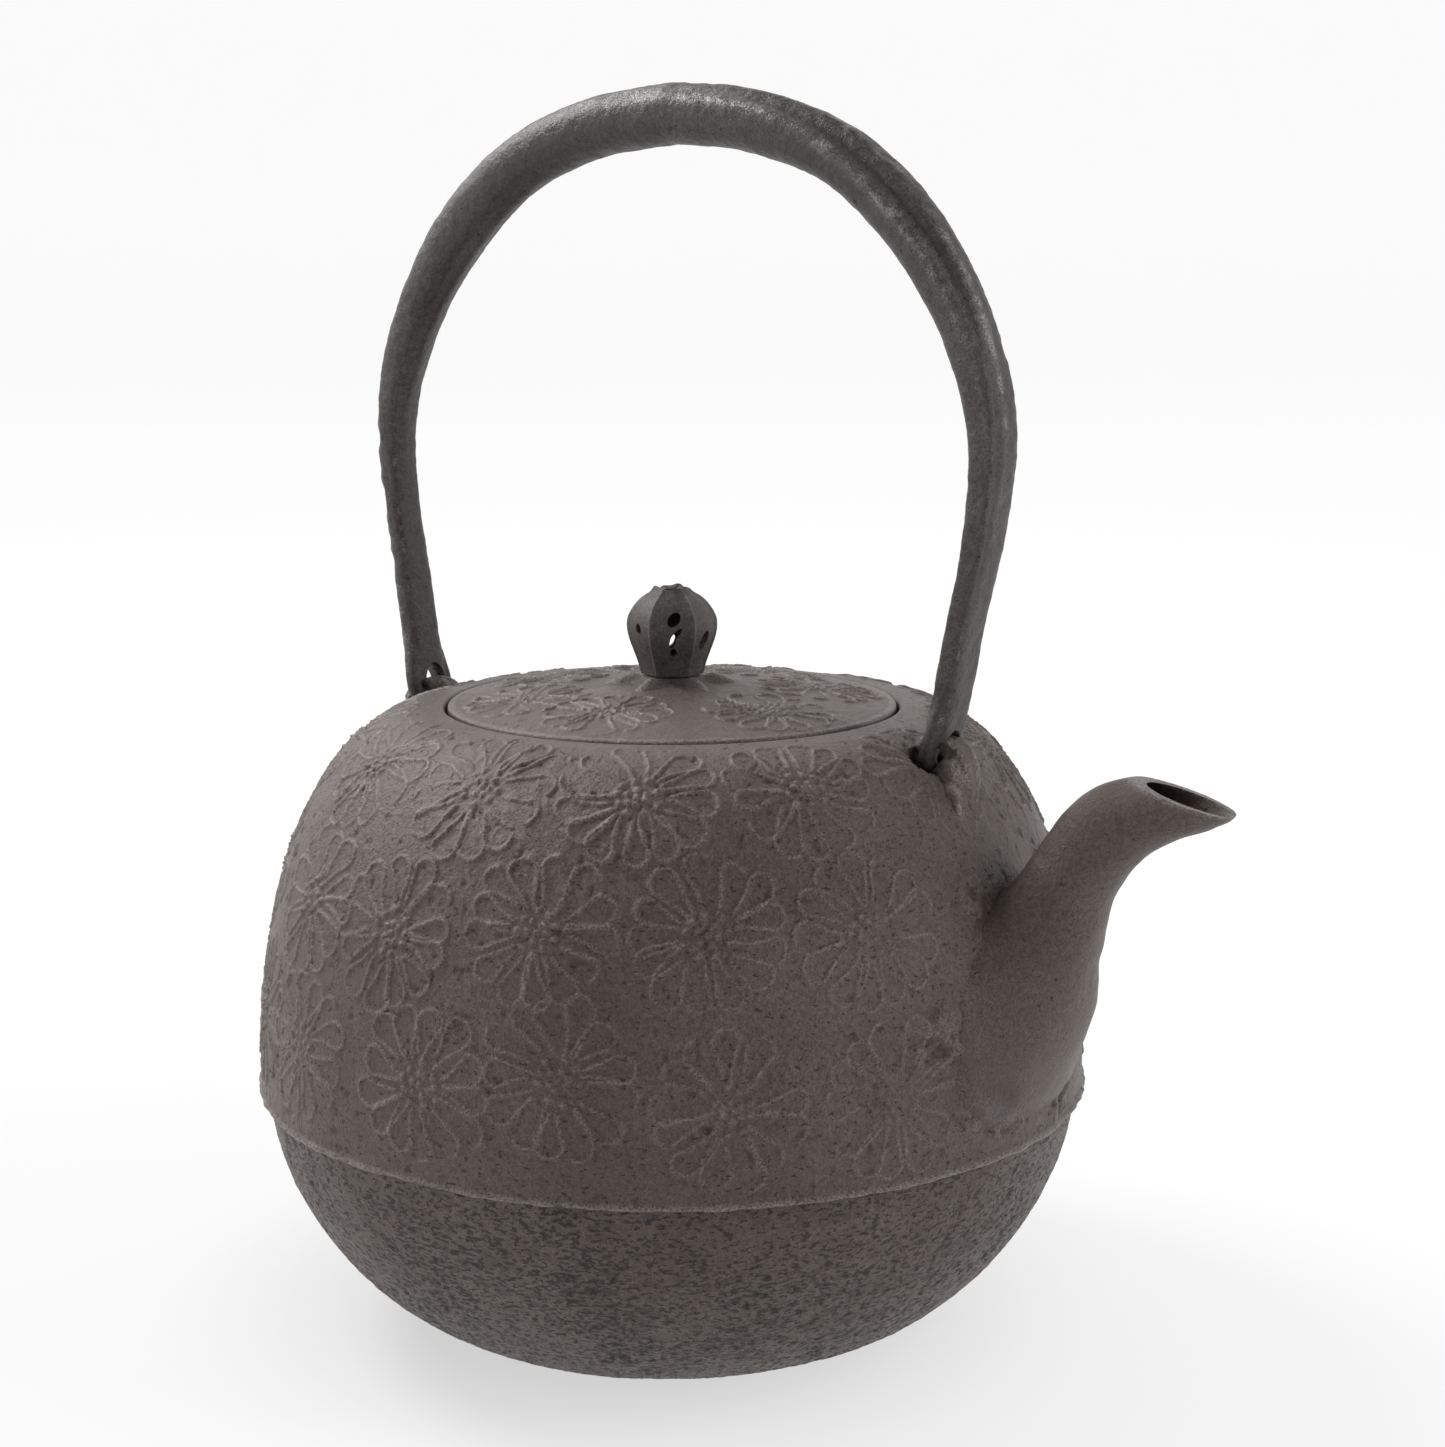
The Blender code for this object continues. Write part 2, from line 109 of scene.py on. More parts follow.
# Lug and handle fittings.
EYE_X = 59.4
EYE_Z = 115.5
EYE_R = 2.4
POCKET_R = 3.4
LEAN = 0.02
LEAN_Z = 165.0
LUG_OUTLINE = (
    (53.6, 111.0),
    (53.8, 117.4),
    (56.0, 119.2),
    (58.9, 119.7),
    (61.9, 119.0),
    (64.6, 116.9),
    (65.9, 114.0),
    (66.2, 110.4),
    (65.6, 105.0),
    (60.0, 104.0),
)
LUG_HALF_Y = 2.8
LUG_TAIL = (
    (61.6, -1.4, 114.8),
    (62.9, -2.6, 112.0),
    (64.1, -4.2, 108.8),
    (65.2, -5.6, 105.6),
    (66.2, -6.6, 102.4),
)
LUG_TAIL_R = (3.0, 1.3)

# Handle stations from its top to a leg's end: x, z, half thickness, half width along Y.
HANDLE = (
    (0.0, 230.2, 5.6, 6.2),
    (18.0, 228.1, 5.6, 6.0),
    (34.8, 222.2, 5.5, 5.7),
    (51.8, 208.2, 5.4, 5.5),
    (62.4, 192.0, 4.5, 5.2),
    (68.0, 173.8, 3.3, 5.0),
    (67.3, 157.0, 2.6, 4.7),
    (64.1, 140.0, 2.3, 4.4),
    (60.7, 121.2, 2.2, 4.5),
    (60.1, 118.6, 2.1, 4.6),
)
PRONG_PATH = (
    (62.2, 2.2, 130.0),
    (60.9, 3.8, 122.5),
    (59.9, 4.6, 118.0),
    (59.4, 4.2, 115.8),
    (59.4, 1.0, 115.5),
)
PRONG_R = (1.6, 1.45)

# Lid, seat and knob.
LID_Z = 120.0
LID_R = 43.0
LID_DOME = 4.0
LID_WALL = 2.6
LID_RING = (34.0, 36.4)
LID_RING_Z = 110.5
RIVET_HOLE_R = 2.2
# Lid flowers as angle in degrees and distance from the axis.
LID_FLOWERS = ((-126, 29.2), (-80, 28.2), (-18, 30.2), (36, 28.0), (84, 27.5), (133, 28.0), (182, 27.5))
LID_FLOWER_R = 12.3
SEAT_TOP_Z = 125.2
SEAT_BORE_Z = 123.6
KNOB_OUTLINE = (
    (5.6, 125.5),
    (6.0, 127.2),
    (7.0, 130.1),
    (7.8, 132.4),
    (8.2, 134.9),
    (8.1, 136.1),
    (7.0, 138.4),
    (5.2, 140.4),
    (3.9, 141.3),
    (3.2, 142.2),
)
KNOB_INSIDE = (
    (3.9, 127.1),
    (5.1, 130.0),
    (6.1, 132.8),
    (6.5, 135.2),
    (5.6, 137.4),
    (4.0, 139.2),
    (2.0, 140.2),
    (1.7, 141.6),
)
KNOB_TURN = math.radians(-55.0)
KNOB_PANELS = 6
KNOB_STEP = 2 * math.pi / KNOB_PANELS
# Openings in the knob: angle round it in radians, height, half width, half height, slant.
KNOB_OPENINGS = (
    (0.05, 136.7, 1.2, 1.38, 0.3),
    (0.10, 133.9, 0.62, 1.25, 0.75),
    (0.02, 132.5, 0.6, 1.25, 0.25),
    (0.04, 130.4, 0.6, 0.8, 0.0),
    (KNOB_STEP - 0.06, 132.5, 1.25, 1.75, 0.35),
    (2 * KNOB_STEP, 134.2, 1.0, 1.5, 0.3),
    (3 * KNOB_STEP + 0.05, 131.0, 0.75, 1.15, -0.4),
    (4 * KNOB_STEP, 134.2, 1.0, 1.5, 0.3),
    (5 * KNOB_STEP + 0.06, 134.6, 0.85, 1.0, -0.15),
)

# Basket.
BASKET_RIM_Z = 117.1
BASKET_R = 37.05
BASKET_FOOT_Z = 72.7

# Light: the white surround's strength, where it is dim, and the part of it left overhead; the paper's own
# colour and glow, with what is taken off near the left lamps and as a painted shadow round the foot; and the
# lamps, as name, azimuth and elevation in degrees, distance and size in metres, power.
WORLD_STRENGTH = 0.72
DIM_STRENGTH = 0.4
DIM_AZIMUTH = -58.0
CEILING_PART = 0.45
PAPER = 0.15
FLOOR_GLOW = 0.84
WALL_GLOW = 0.86
LEFT_GLOW = 0.13
FOOT_SHADE = 0.17
LAMPS = (
    ("soft_left", -176.0, 46.0, 1.1, (0.45, 0.45), 11.5),
    ("soft_right", 15.0, 32.0, 1.4, (0.4, 0.8), 6.0),
    ("soft_back", 115.0, 42.0, 1.7, (1.4, 0.7), 1.5),
    ("low_left", -138.0, 12.0, 1.3, (0.5, 0.5), 2.5),
)


# ---------------------------------------------------------------- shape helpers


def corner_value(ix, iy, iz, seed):
    """A repeatable number from -1 to 1 for each whole-numbered corner of a lattice."""
    mixed = (ix * 374761393 + iy * 668265263 + iz * 1274126177 + seed * 97531) & 0xFFFFFFFF
    mixed = ((mixed ^ (mixed >> 13)) * 1103515245) & 0xFFFFFFFF
    mixed = ((mixed ^ (mixed >> 16)) * 2654435761) & 0xFFFFFFFF
    return ((mixed >> 8) & 0xFFFF) / 32767.5 - 1.0


def noise(points, size, seed):
    """Smooth noise from -1 to 1 at points (n, 3), with lumps about size millimetres across."""
    place = np.asarray(points, float) / size
    base = np.floor(place)
    part = place - base
    ease = part * part * (3 - 2 * part)
    base = base.astype(np.int64)
    total = np.zeros(len(place))
    for dx in (0, 1):
        wx = ease[:, 0] if dx else 1 - ease[:, 0]
        for dy in (0, 1):
            wy = ease[:, 1] if dy else 1 - ease[:, 1]
            for dz in (0, 1):
                wz = ease[:, 2] if dz else 1 - ease[:, 2]
                corner = corner_value(base[:, 0] + dx, base[:, 1] + dy, base[:, 2] + dz, seed)
                total += wx * wy * wz * corner
    return total


def noises(points, *layers):
    """Noise in layers, each given as its strength, its lumps' size and its seed."""
    return sum(strength * noise(points, size, seed) for strength, size, seed in layers)


def smoothstep(low, high, value):
    part = np.clip((value - low) / (high - low), 0.0, 1.0)
    return part * part * (3 - 2 * part)


def bell(value, middle, width):
    return np.exp(-(((value - middle) / width) ** 2))


def spot(first, second, middle, width):
    return np.exp(-(((first - middle[0]) / width[0]) ** 2) - ((second - middle[1]) / width[1]) ** 2)


def belly_curve(shape, steps, side):
    """(radius, height) along a rounded quarter curve from the waist, upward for side 1, downward for -1."""
    flat_r, waist_r, height, power = shape
    angle = np.linspace(0.0, math.pi / 2, steps + 1)
    across = np.clip(np.cos(angle), 0.0, 1.0) ** (2 / power)
    rise = height * np.sin(angle) ** (2 / power)
    return np.stack([flat_r + (waist_r - flat_r) * across, WAIST_Z + side * rise], 1)


def belly_line(below, above):
    """The belly's outer curve from foot to lip, with this many steps below and above the waist."""
    return np.vstack([belly_curve(LOWER, below, -1)[::-1], belly_curve(UPPER, above, 1)[1:]])


def evenly(line, step):
    """A polyline's points set out again at an even spacing of about step."""
    line = np.asarray(line, float)
    run = run_along(line)
    count = max(2, int(round(run[-1] / step)) + 1)
    at = np.linspace(0.0, run[-1], count)
    return np.stack([np.interp(at, run, line[:, axis]) for axis in range(line.shape[1])], 1)


def smooth_stations(stations, steps):
    """Stations joined by a smooth curve that suits uneven spacing, with steps points in each stretch."""
    known = np.array(stations, float)
    reach = np.linalg.norm(np.diff(known[:, :2], axis=0), axis=1) + 1e-6
    run = np.concatenate([[0.0], np.cumsum(reach)])
    slope = np.gradient(known, run, axis=0)
    out = []
    for index, length in enumerate(reach):
        t = (np.arange(steps) / steps)[:, None]
        start, end = known[index], known[index + 1]
        leave, arrive = slope[index] * length, slope[index + 1] * length
        curve = (2 * t**3 - 3 * t**2 + 1) * start + (t**3 - 2 * t**2 + t) * leave
        out.append(curve + (3 * t**2 - 2 * t**3) * end + (t**3 - t**2) * arrive)
    return np.vstack(out + [known[-1:]])


def grid_faces(rows, columns, closed_rows=False):
    """Quads of a grid that closes round its columns, and round its rows too when closed_rows."""
    row, column = np.meshgrid(np.arange(rows if closed_rows else rows - 1), np.arange(columns), indexing="ij")
    here, after, side = row * columns, (row + 1) % rows * columns, (column + 1) % columns
    return np.stack([here + column, here + side, after + side, after + column], -1).reshape(-1, 4).tolist()


def hub_faces(hub, start, columns):
    """Triangles that join a hub to the ring of points from start on."""
    return [(hub, start + step, start + (step + 1) % columns) for step in range(columns)]


def ring_angles(count):
    return np.arange(count) * 2 * math.pi / count


def about_axis(radius, angle, height):
    """Points at these distances from the upright axis, angles round it, and heights."""
    return np.stack(np.broadcast_arrays(radius * np.cos(angle), radius * np.sin(angle), height), -1)


def run_along(line):
    """The distance along a polyline at each of its points."""
    return np.concatenate([[0.0], np.cumsum(np.linalg.norm(np.diff(line, axis=0), axis=1))])


def unit(vectors):
    return vectors / np.linalg.norm(vectors, axis=-1, keepdims=True)


def add_object(name, data):
    made = bpy.data.objects.new(name, data)
    bpy.context.scene.collection.objects.link(made)
    return made


def smooth(made, sharp=None):
    """Smooth shading, except at edges that turn by more than sharp degrees."""
    made.data.shade_smooth()
    if sharp is not None:
        made.data.set_sharp_from_angle(angle=math.radians(sharp))


def mesh_object(name, points, faces, sharp=None):
    """A mesh object from points in millimetres, its faces turned outward."""
    mesh = bpy.data.meshes.new(name)
    mesh.from_pydata((np.asarray(points, float) * MM).tolist(), [], faces)
    work = bmesh.new()
    work.from_mesh(mesh)
    bmesh.ops.recalc_face_normals(work, faces=work.faces)
    if work.calc_volume(signed=True) < 0:
        bmesh.ops.reverse_faces(work, faces=work.faces)
    work.to_mesh(mesh)
    work.free()
    made = add_object(name, mesh)
    smooth(made, sharp)
    return made


def set_looks(made, wear_and_highlight, painted_shade=0.0, bowl=0.0):
    """Numbers from 0 to 1 for each vertex, which the materials read: pale rubbed wear with painted highlight,
    painted shade, and the bowl's pitting.
    """
    for name, values in (("wear_and_highlight", wear_and_highlight), ("bowl", bowl), ("painted_shade", painted_shade)):
        layer = made.data.attributes.new(name, "FLOAT", "POINT")
        spread_out = np.broadcast_to(np.clip(values, 0, 1), len(made.data.vertices))
        layer.data.foreach_set("value", spread_out.astype(np.float32))


def read_vertices(made, what):
    """The places ("co", in metres) or the normals ("normal") of an object's vertices, in rows of three."""
    flat = np.zeros(len(made.data.vertices) * 3)
    made.data.vertices.foreach_get(what, flat)
    return flat.reshape(-1, 3)


def vertex_array(made):
    return read_vertices(made, "co") / MM


def move_vertices(made, points):
    made.data.vertices.foreach_set("co", (points * MM).ravel())
    made.data.update()


def apply_modifiers(made):
    """The object's mesh becomes what its modifiers make of it."""
    graph = bpy.context.evaluated_depsgraph_get()
    done = bpy.data.meshes.new_from_object(made.evaluated_get(graph))
    made.modifiers.clear()
    old = made.data
    made.data = done
    bpy.data.meshes.remove(old)


def cut(target, cutter):
    step = target.modifiers.new("cut", "BOOLEAN")
    step.operation = "DIFFERENCE"
    step.object = cutter
    step.solver = "EXACT"
    apply_modifiers(target)
    bpy.data.objects.remove(cutter)


def bevel(made, width, angle, segments=2):
    step = made.modifiers.new("edges", "BEVEL")
    step.width = width * MM
    step.segments = segments
    step.limit_method = "ANGLE"
    step.angle_limit = math.radians(angle)
    apply_modifiers(made)


def remesh(made, size, rounds=2):
    """One even skin over everything in the object, slightly softened, as a casting or a forging has."""
    step = made.modifiers.new("skin", "REMESH")
    step.mode = "VOXEL"
    step.voxel_size = size * MM
    apply_modifiers(made)
    soft = made.modifiers.new("soft", "SMOOTH")
    soft.factor = 0.5
    soft.iterations = rounds
    apply_modifiers(made)
    smooth(made)


def turned(name, profile, sides, sharp=30):
    """A solid of revolution. The profile closes on itself, or has both ends on the axis."""
    profile = np.asarray(profile, float)
    on_axis = profile[0][0] == 0
    rows = profile[1:-1] if on_axis else profile
    points = about_axis(rows[:, :1], ring_angles(sides), rows[:, 1:]).reshape(-1, 3)
    faces = grid_faces(len(rows), sides, closed_rows=not on_axis)
    if on_axis:
        for row, height in ((0, profile[0][1]), (len(rows) - 1, profile[-1][1])):
            points = np.vstack([points, [0, 0, height]])
            faces += hub_faces(len(points) - 1, row * sides, sides)
    return mesh_object(name, points, faces, sharp=sharp)


def lofted(name, rings, closed=False, sharp=None):
    rings = np.asarray(rings, float)
    rows, count = rings.shape[:2]
    faces = grid_faces(rows, count, closed_rows=closed)
    if not closed:
        faces += [tuple(range(count)), tuple(range((rows - 1) * count, rows * count))]
    return mesh_object(name, rings.reshape(-1, 3), faces, sharp=sharp)


def section_rings(path, sides, inset=0.0, power=2.0):
    """Oval rings square to a path in the XZ plane. inset and power may differ along the path."""
    tangents = unit(np.gradient(path[:, :2], axis=0))
    insets = np.broadcast_to(inset, len(path))[:, None]
    powers = np.broadcast_to(power, len(path))[:, None]
    angle = ring_angles(sides)[None, :]
    across = np.sign(np.cos(angle)) * np.abs(np.cos(angle)) ** (2 / powers)
    along_y = np.sign(np.sin(angle)) * np.abs(np.sin(angle)) ** (2 / powers)
    thick = (path[:, 2:3] - insets) * across
    x = path[:, 0:1] - tangents[:, 1:2] * thick
    z = path[:, 1:2] + tangents[:, 0:1] * thick
    return np.stack([x, (path[:, 3:4] - insets) * along_y, z], -1)


def round_rings(line, tangents, guess, radius, sides):
    """Round rings square to a line, the first point of each turned by a guess that isn't along the line."""
    tangents = unit(tangents)
    first = unit(np.cross(tangents, guess))
    second = np.cross(tangents, first)
    angle = ring_angles(sides)[None, :, None]
    return line[:, None] + radius * (np.cos(angle) * first[:, None] + np.sin(angle) * second[:, None])


def round_bar(name, path, radii, sides):
    """A round bar along a smooth path in space."""
    line = smooth_stations(path, 6)
    radius = np.linspace(radii[0], radii[1], len(line))[:, None, None]
    return lofted(name, round_rings(line, np.gradient(line, axis=0), (1.0, 0.0, 0.0), radius, sides))


def rod(name, start, end, half_width, half_height, sides=16):
    """A straight oval rod from start to end; its second axis stands as near upright as it can."""
    start, end = np.array(start, float), np.array(end, float)
    axis = (end - start) / np.linalg.norm(end - start)
    side = np.cross(axis, (0.0, 0.0, 1.0)) if abs(axis[2]) < 0.99 else np.array((0.0, 1.0, 0.0))
    side /= np.linalg.norm(side)
    up = np.cross(side, axis)
    angle = ring_angles(sides)[:, None]
    ring = half_width * np.cos(angle) * side + half_height * np.sin(angle) * up
    return lofted(name, [start + ring, end + ring])


def join(pieces, name):
    """Several objects' meshes in one object."""
    work = bmesh.new()
    for piece in pieces:
        work.from_mesh(piece.data)
    mesh = bpy.data.meshes.new(name)
    work.to_mesh(mesh)
    work.free()
    for piece in pieces:
        bpy.data.objects.remove(piece)
    made = add_object(name, mesh)
    smooth(made)
    return made


# ---------------------------------------------------------------- flower relief


def line_distance(points, line):
    """How far each point (n, 2) is from a polyline."""
    start, run = line[:-1], np.diff(line, axis=0)
    offset = points[:, None, :] - start[None]
    along = np.clip((offset * run).sum(-1) / (run**2).sum(-1), 0.0, 1.0)
    gap = offset - along[..., None] * run
    return np.sqrt((gap**2).sum(-1).min(1))


def petal_line(reach, draw):
    """One petal's outline: up one side from near the middle, round its broad tip, and back."""
    half = reach * draw.uniform(0.165, 0.205)
    tip = reach - half
    bow = draw.uniform(-0.07, 0.07) * reach
    first, last = reach * draw.uniform(0.29, 0.42, 2)
    steps = np.linspace(0.0, 1.0, 8)[:-1]
    turn = np.linspace(math.pi / 2, -math.pi / 2, 10)
    if draw.random() < 0.35:
        turn = turn[: -int(draw.integers(2, 5))]

    def side(start, sign):
        along = start + (tip - start) * steps
        away = half * (0.2 + 0.8 * steps**1.25)
        return np.stack([along, sign * away], 1)

    cap = np.stack([tip + half * np.cos(turn), half * np.sin(turn)], 1)
    line = np.vstack([side(first, 1), cap])
    if len(turn) == 10:
        line = np.vstack([line, side(last, -1)[::-1]])
    line[:, 1] += bow * np.sin(math.pi * line[:, 0] / reach)
    return line


def flower_heights(points, reach, petals, draw):
    """Height from 0 to 1 of a line-drawn flower's ridges and dots at points (n, 2) round its middle."""
    height = np.zeros(len(points))
    start_angle = draw.uniform(0, 2 * math.pi)
    for petal in range(petals):
        angle = start_angle + 2 * math.pi * (petal + draw.uniform(-0.16, 0.16)) / petals
        length = reach * draw.uniform(0.9, 1.04)
        outline = petal_line(length, draw)
        turned_back = np.array(((math.cos(angle), -math.sin(angle)), (math.sin(angle), math.cos(angle))))
        own = points @ turned_back
        near = (own[:, 0] > 0) & (own[:, 0] < length + 1.5) & (np.abs(own[:, 1]) < 0.34 * length)
        if near.any():
            away = line_distance(own[near], outline)
            height[near] = np.maximum(height[near], bell(away, 0, LINE_WIDTH))
    dots = np.zeros(len(points))
    rings = ((0.0, 1), (0.125 * reach, 6), (0.255 * reach, 9))
    for ring_r, count in rings:
        for index in range(count):
            angle = start_angle + 2 * math.pi * (index + draw.uniform(-0.25, 0.25)) / count
            away_r = ring_r * draw.uniform(0.85, 1.15)
            middle = away_r * np.array((math.cos(angle), math.sin(angle)))
            size = draw.uniform(0.5, 0.68)
            away = np.linalg.norm(points - middle, axis=1)
            dots = np.maximum(dots, draw.uniform(0.6, 1.0) * bell(away, 0, size))
    return height, dots


# ---------------------------------------------------------------- belly


def lean(height):
    """How far the handle's hand-set arch leans towards the spout at a height."""
    return LEAN * (height - LEAN_Z)


def belly_radius(height):
    """The belly's outer radius at each height."""
    line = belly_line(300, 300)
    return np.interp(height, line[:, 1], line[:, 0])


def belly_rows():
    """The belly's profile as rows (radius, height), with the places where each zone starts."""
    below = evenly(belly_curve(LOWER, 400, -1)[::-1], LOWER_STEP)
    above = belly_curve(UPPER, 400, 1)
    above = above[above[:, 1] > WAIST_Z + 0.9]
    above = evenly(above[above[:, 1] < LIP_Z - 0.25], UPPER_STEP)
    ledge = np.array([(78.35, 47.15), (78.6, 47.3), (79.7, 47.3), (80.3, 47.45), (80.5, 47.8), (80.2, 48.2)])
    lip = [(45.2, LIP_Z - 0.05), (44.6, LIP_Z), (44.1, LIP_Z - 0.1), (RECESS_R, LIP_Z - 0.6)]
    recess = [(RECESS_R, LIP_Z - 1.6), (RECESS_R, LEDGE_Z + 0.3), (RECESS_R - 0.4, LEDGE_Z)]
    neck = [(MOUTH_R + 0.5, LEDGE_Z), (MOUTH_R, LEDGE_Z - 0.5)]
    neck += [(MOUTH_R, NECK_Z + 0.4), (MOUTH_R + 0.4, NECK_Z)]
    mouth = np.array(lip + recess + neck)
    inside_above = evenly(belly_curve(UPPER_INSIDE, 200, 1)[::-1], INSIDE_STEP)
    inside_below = evenly(belly_curve(LOWER_INSIDE, 200, -1), INSIDE_STEP)
    foot = np.array([(12.0, 0.0), (24.0, 0.0), (33.0, 0.0), (35.6, 0.0)])
    floor = np.array([(24.0, FLOOR_Z), (12.0, FLOOR_Z)])
    zones = [foot, below[1:], ledge, above, mouth, inside_above, inside_below[1:], floor]
    starts = np.cumsum([0] + [len(zone) for zone in zones])
    return np.vstack(zones), starts


def flower_field(rows, along, angles, draw):
    """Flower ridges and dots over the belly's upper rows: two grids of heights from 0 to 1."""
    radius = rows[:, 0]
    lines = np.zeros((len(rows), len(angles)))
    dots = np.zeros_like(lines)
    for row, (height, count, first) in enumerate(FLOWER_ROWS):
        centre_row = int(np.argmin(np.abs(rows[:, 1] - height)))
        for index in range(count):
            stray = FLOWER_STRAYS.get((row, index), (0.0, 0.0))
            azimuth = math.radians(first + 360.0 * index / count + stray[0] + draw.uniform(-0.5, 0.5))
            reach = FLOWER_R * draw.uniform(0.97, 1.05)
            shift = stray[1] + draw.uniform(-0.5, 0.5)
            own = np.random.default_rng(int(draw.integers(1, 10**6)))
            away_from_spout = abs((azimuth + math.pi) % (2 * math.pi) - math.pi)
            if height < 100 and away_from_spout < math.radians(20):
                continue
            rise = along - along[centre_row] - shift
            near_rows = np.where(np.abs(rise) < reach + 1.5)[0]
            turn = (angles - azimuth + math.pi) % (2 * math.pi) - math.pi
            near_columns = np.where(np.abs(turn) * radius[near_rows].min() < reach + 2.0)[0]
            u = turn[near_columns][None, :] * radius[near_rows][:, None]
            v = np.broadcast_to(rise[near_rows][:, None], u.shape)
            points = np.stack([u.ravel(), v.ravel()], 1)
            ridge, dot = flower_heights(points, reach, PETALS, own)
            block = np.ix_(near_rows, near_columns)
            lines[block] = np.maximum(lines[block], ridge.reshape(u.shape))
            dots[block] = np.maximum(dots[block], dot.reshape(u.shape))
    return lines, dots


def make_belly():
    rows, starts = belly_rows()
    angles = ring_angles(BELLY_SIDES)
    tangent = np.gradient(rows, axis=0)
    tangent /= np.maximum(np.linalg.norm(tangent, axis=1), 1e-9)[:, None]
    along = run_along(rows)
    base = about_axis(rows[:, :1], angles, rows[:, 1:])
    below, ledge, above, mouth = starts[1:5]
    shape = base.shape[:2]
    flat = base.reshape(-1, 3)
    x, y, z = base[..., 0], base[..., 1], base[..., 2]

    draw = np.random.default_rng(5)
    lines, dots = np.zeros(shape), np.zeros(shape)
    upper = slice(above, mouth)
    lines[upper], dots[upper] = flower_field(rows[upper], along[upper], angles, draw)

    def skin_noise(*layers):
        return noises(flat, *layers).reshape(shape)

    # How strongly the mould printed: weaker low on the spout's side, and patchy everywhere.
    azimuth = np.degrees(np.arctan2(y, x))
    worn = spot(azimuth, z, (-27, 64), (17, 17)) + 0.5 * spot(azimuth, z, (-60, 78), (12, 6))
    patchy = 0.5 + skin_noise((0.5, 17.0, 3))
    broken = skin_noise((0.24, 4.5, 4))
    strength = np.clip(0.74 + 0.45 * patchy + broken - 0.5 * worn, 0.0, 1.15)
    strength = strength * (1 - smoothstep(along[mouth] - 4.5, along[mouth] - 2.4, along)[:, None])

    # The spout's root: a soft fillet, and the rough lumps that casting left round it.
    root = np.sqrt(((y - ROOT_CENTRE[0]) / ROOT_HALF[0]) ** 2 + ((z - ROOT_CENTRE[1]) / ROOT_HALF[1]) ** 2)
    from_root = np.where(x > 0, (root - 1) * 19.5, 99.0)
    fillet = 0.8 * np.exp(-np.clip(from_root, 0, None) / 3.0) * smoothstep(56, 70, z) * (from_root > -4)
    lump_zone = bell(from_root, 2.5, 5.0) * smoothstep(-3, 0.5, from_root)
    beside = spot(y, z, (-15, 92), (9, 9))
    corner = spot(y, z, (-15.5, 56.5), (5.5, 3.2))
    patch = smoothstep(0.1, 0.7, skin_noise((1.0, 9.0, 11)) + 0.05 + 1.1 * beside + 1.3 * corner)
    grit = skin_noise((1.0, 2.4, 12), (0.5, 1.2, 29), (0.25, 0.6, 46))
    lumps = np.maximum(lump_zone, 0.8 * beside * (x > 0)) * patch * (0.3 + 0.95 * grit)
    strength = strength * smoothstep(0.0, 6.0, from_root)

    # Rough skin where a lug was cast on, and the pockets that the handle's prongs dip into.
    pocket = np.zeros(shape)
    lug_rough = np.zeros(shape)
    for sign in (1, -1):
        eye = sign * EYE_X + lean(EYE_Z)
        across = np.hypot(x - eye, z - EYE_Z)
        beyond = np.clip(np.abs(y) - 4.6, 0, None) / 3.4
        pocket += POCKET_R * np.sqrt(np.clip(1 - (across / POCKET_R) ** 2 - beyond**2, 0, 1))
        near = np.hypot(np.hypot(x - sign * 62.5, (z - 111) * 0.8), (y + 1.5) * 0.85)
        lug_rough += np.exp(-((near / 9.0) ** 4))
    lug_rough = np.clip(lug_rough, 0, 1)
    strength = strength * (1 - 0.9 * lug_rough)

    outside = np.zeros(len(rows))
    outside[below:mouth] = 1.0
    outside[below : below + 6] = np.linspace(0, 1, 6)
    body = outside[:, None] * np.ones(shape)
    edge_calm = 1 - smoothstep(along[mouth] - 3.0, along[mouth], along)[:, None] * 0.8
    bowl = np.zeros(shape)
    bowl[below:ledge] = 1.0
    # The belly's skin laid out on an upright tube, so that the bowl's pits run along it.
    drape = about_axis(70, angles, along[:, None] * 1.8).reshape(-1, 3)

    relief = LINE_HEIGHT * lines * strength + DOT_HEIGHT * dots * np.clip(strength, 0, 1)
    pebbled = smoothstep(-0.45, 0.5, skin_noise((1.0, 15.0, 31), (0.5, 6.0, 32)))
    pebbles = skin_noise((0.12, 3.2, 23), (0.11, 1.6, 24))
    skin = skin_noise((0.30, 42.0, 21), (0.12, 13.0, 22))
    skin = skin + pebbles * (0.35 + 0.75 * pebbled) * (1 - 0.6 * bowl)
    chipped = -CHIP_DEPTH * smoothstep(0.6, 0.82, skin_noise((1.0, 1.5, 25))) * (1 - bowl)
    dense = smoothstep(0.0, 1.0, 0.62 + skin_noise((0.35, 14.0, 33)) - 0.35 * smoothstep(30, 47, z))
    pitted = smoothstep(0.16, 0.5, noise(drape, 1.6, 26)).reshape(shape)
    pits = -PIT_DEPTH * pitted * bowl * (0.3 + 0.7 * dense)
    bowl_grain = (0.09 * noise(drape, 1.3, 27) + 0.06 * noise(flat, 2.6, 34)).reshape(shape) * bowl
    at_ledge = bell(along, along[ledge + 4], 0.6)[:, None]
    burr = 0.2 * (skin_noise((1.0, 2.4, 28)) + 0.3) * at_ledge
    under_ledge = bell(along, along[ledge] - 0.2, 0.55)[:, None]
    rough_lug = lug_rough * skin_noise((0.3, 2.6, 29), (0.16, 1.3, 30))
    lift = body * edge_calm * (skin + chipped + pits + bowl_grain) + relief + body * (fillet + lumps)
    lift += burr + body * rough_lug - outside[:, None] * pocket
    points = base + lift[..., None] * about_axis(tangent[:, 1:], angles, -tangent[:, :1])
    # The foot stays flat on the table.
    points[: below + 1, :, 2] = 0.0

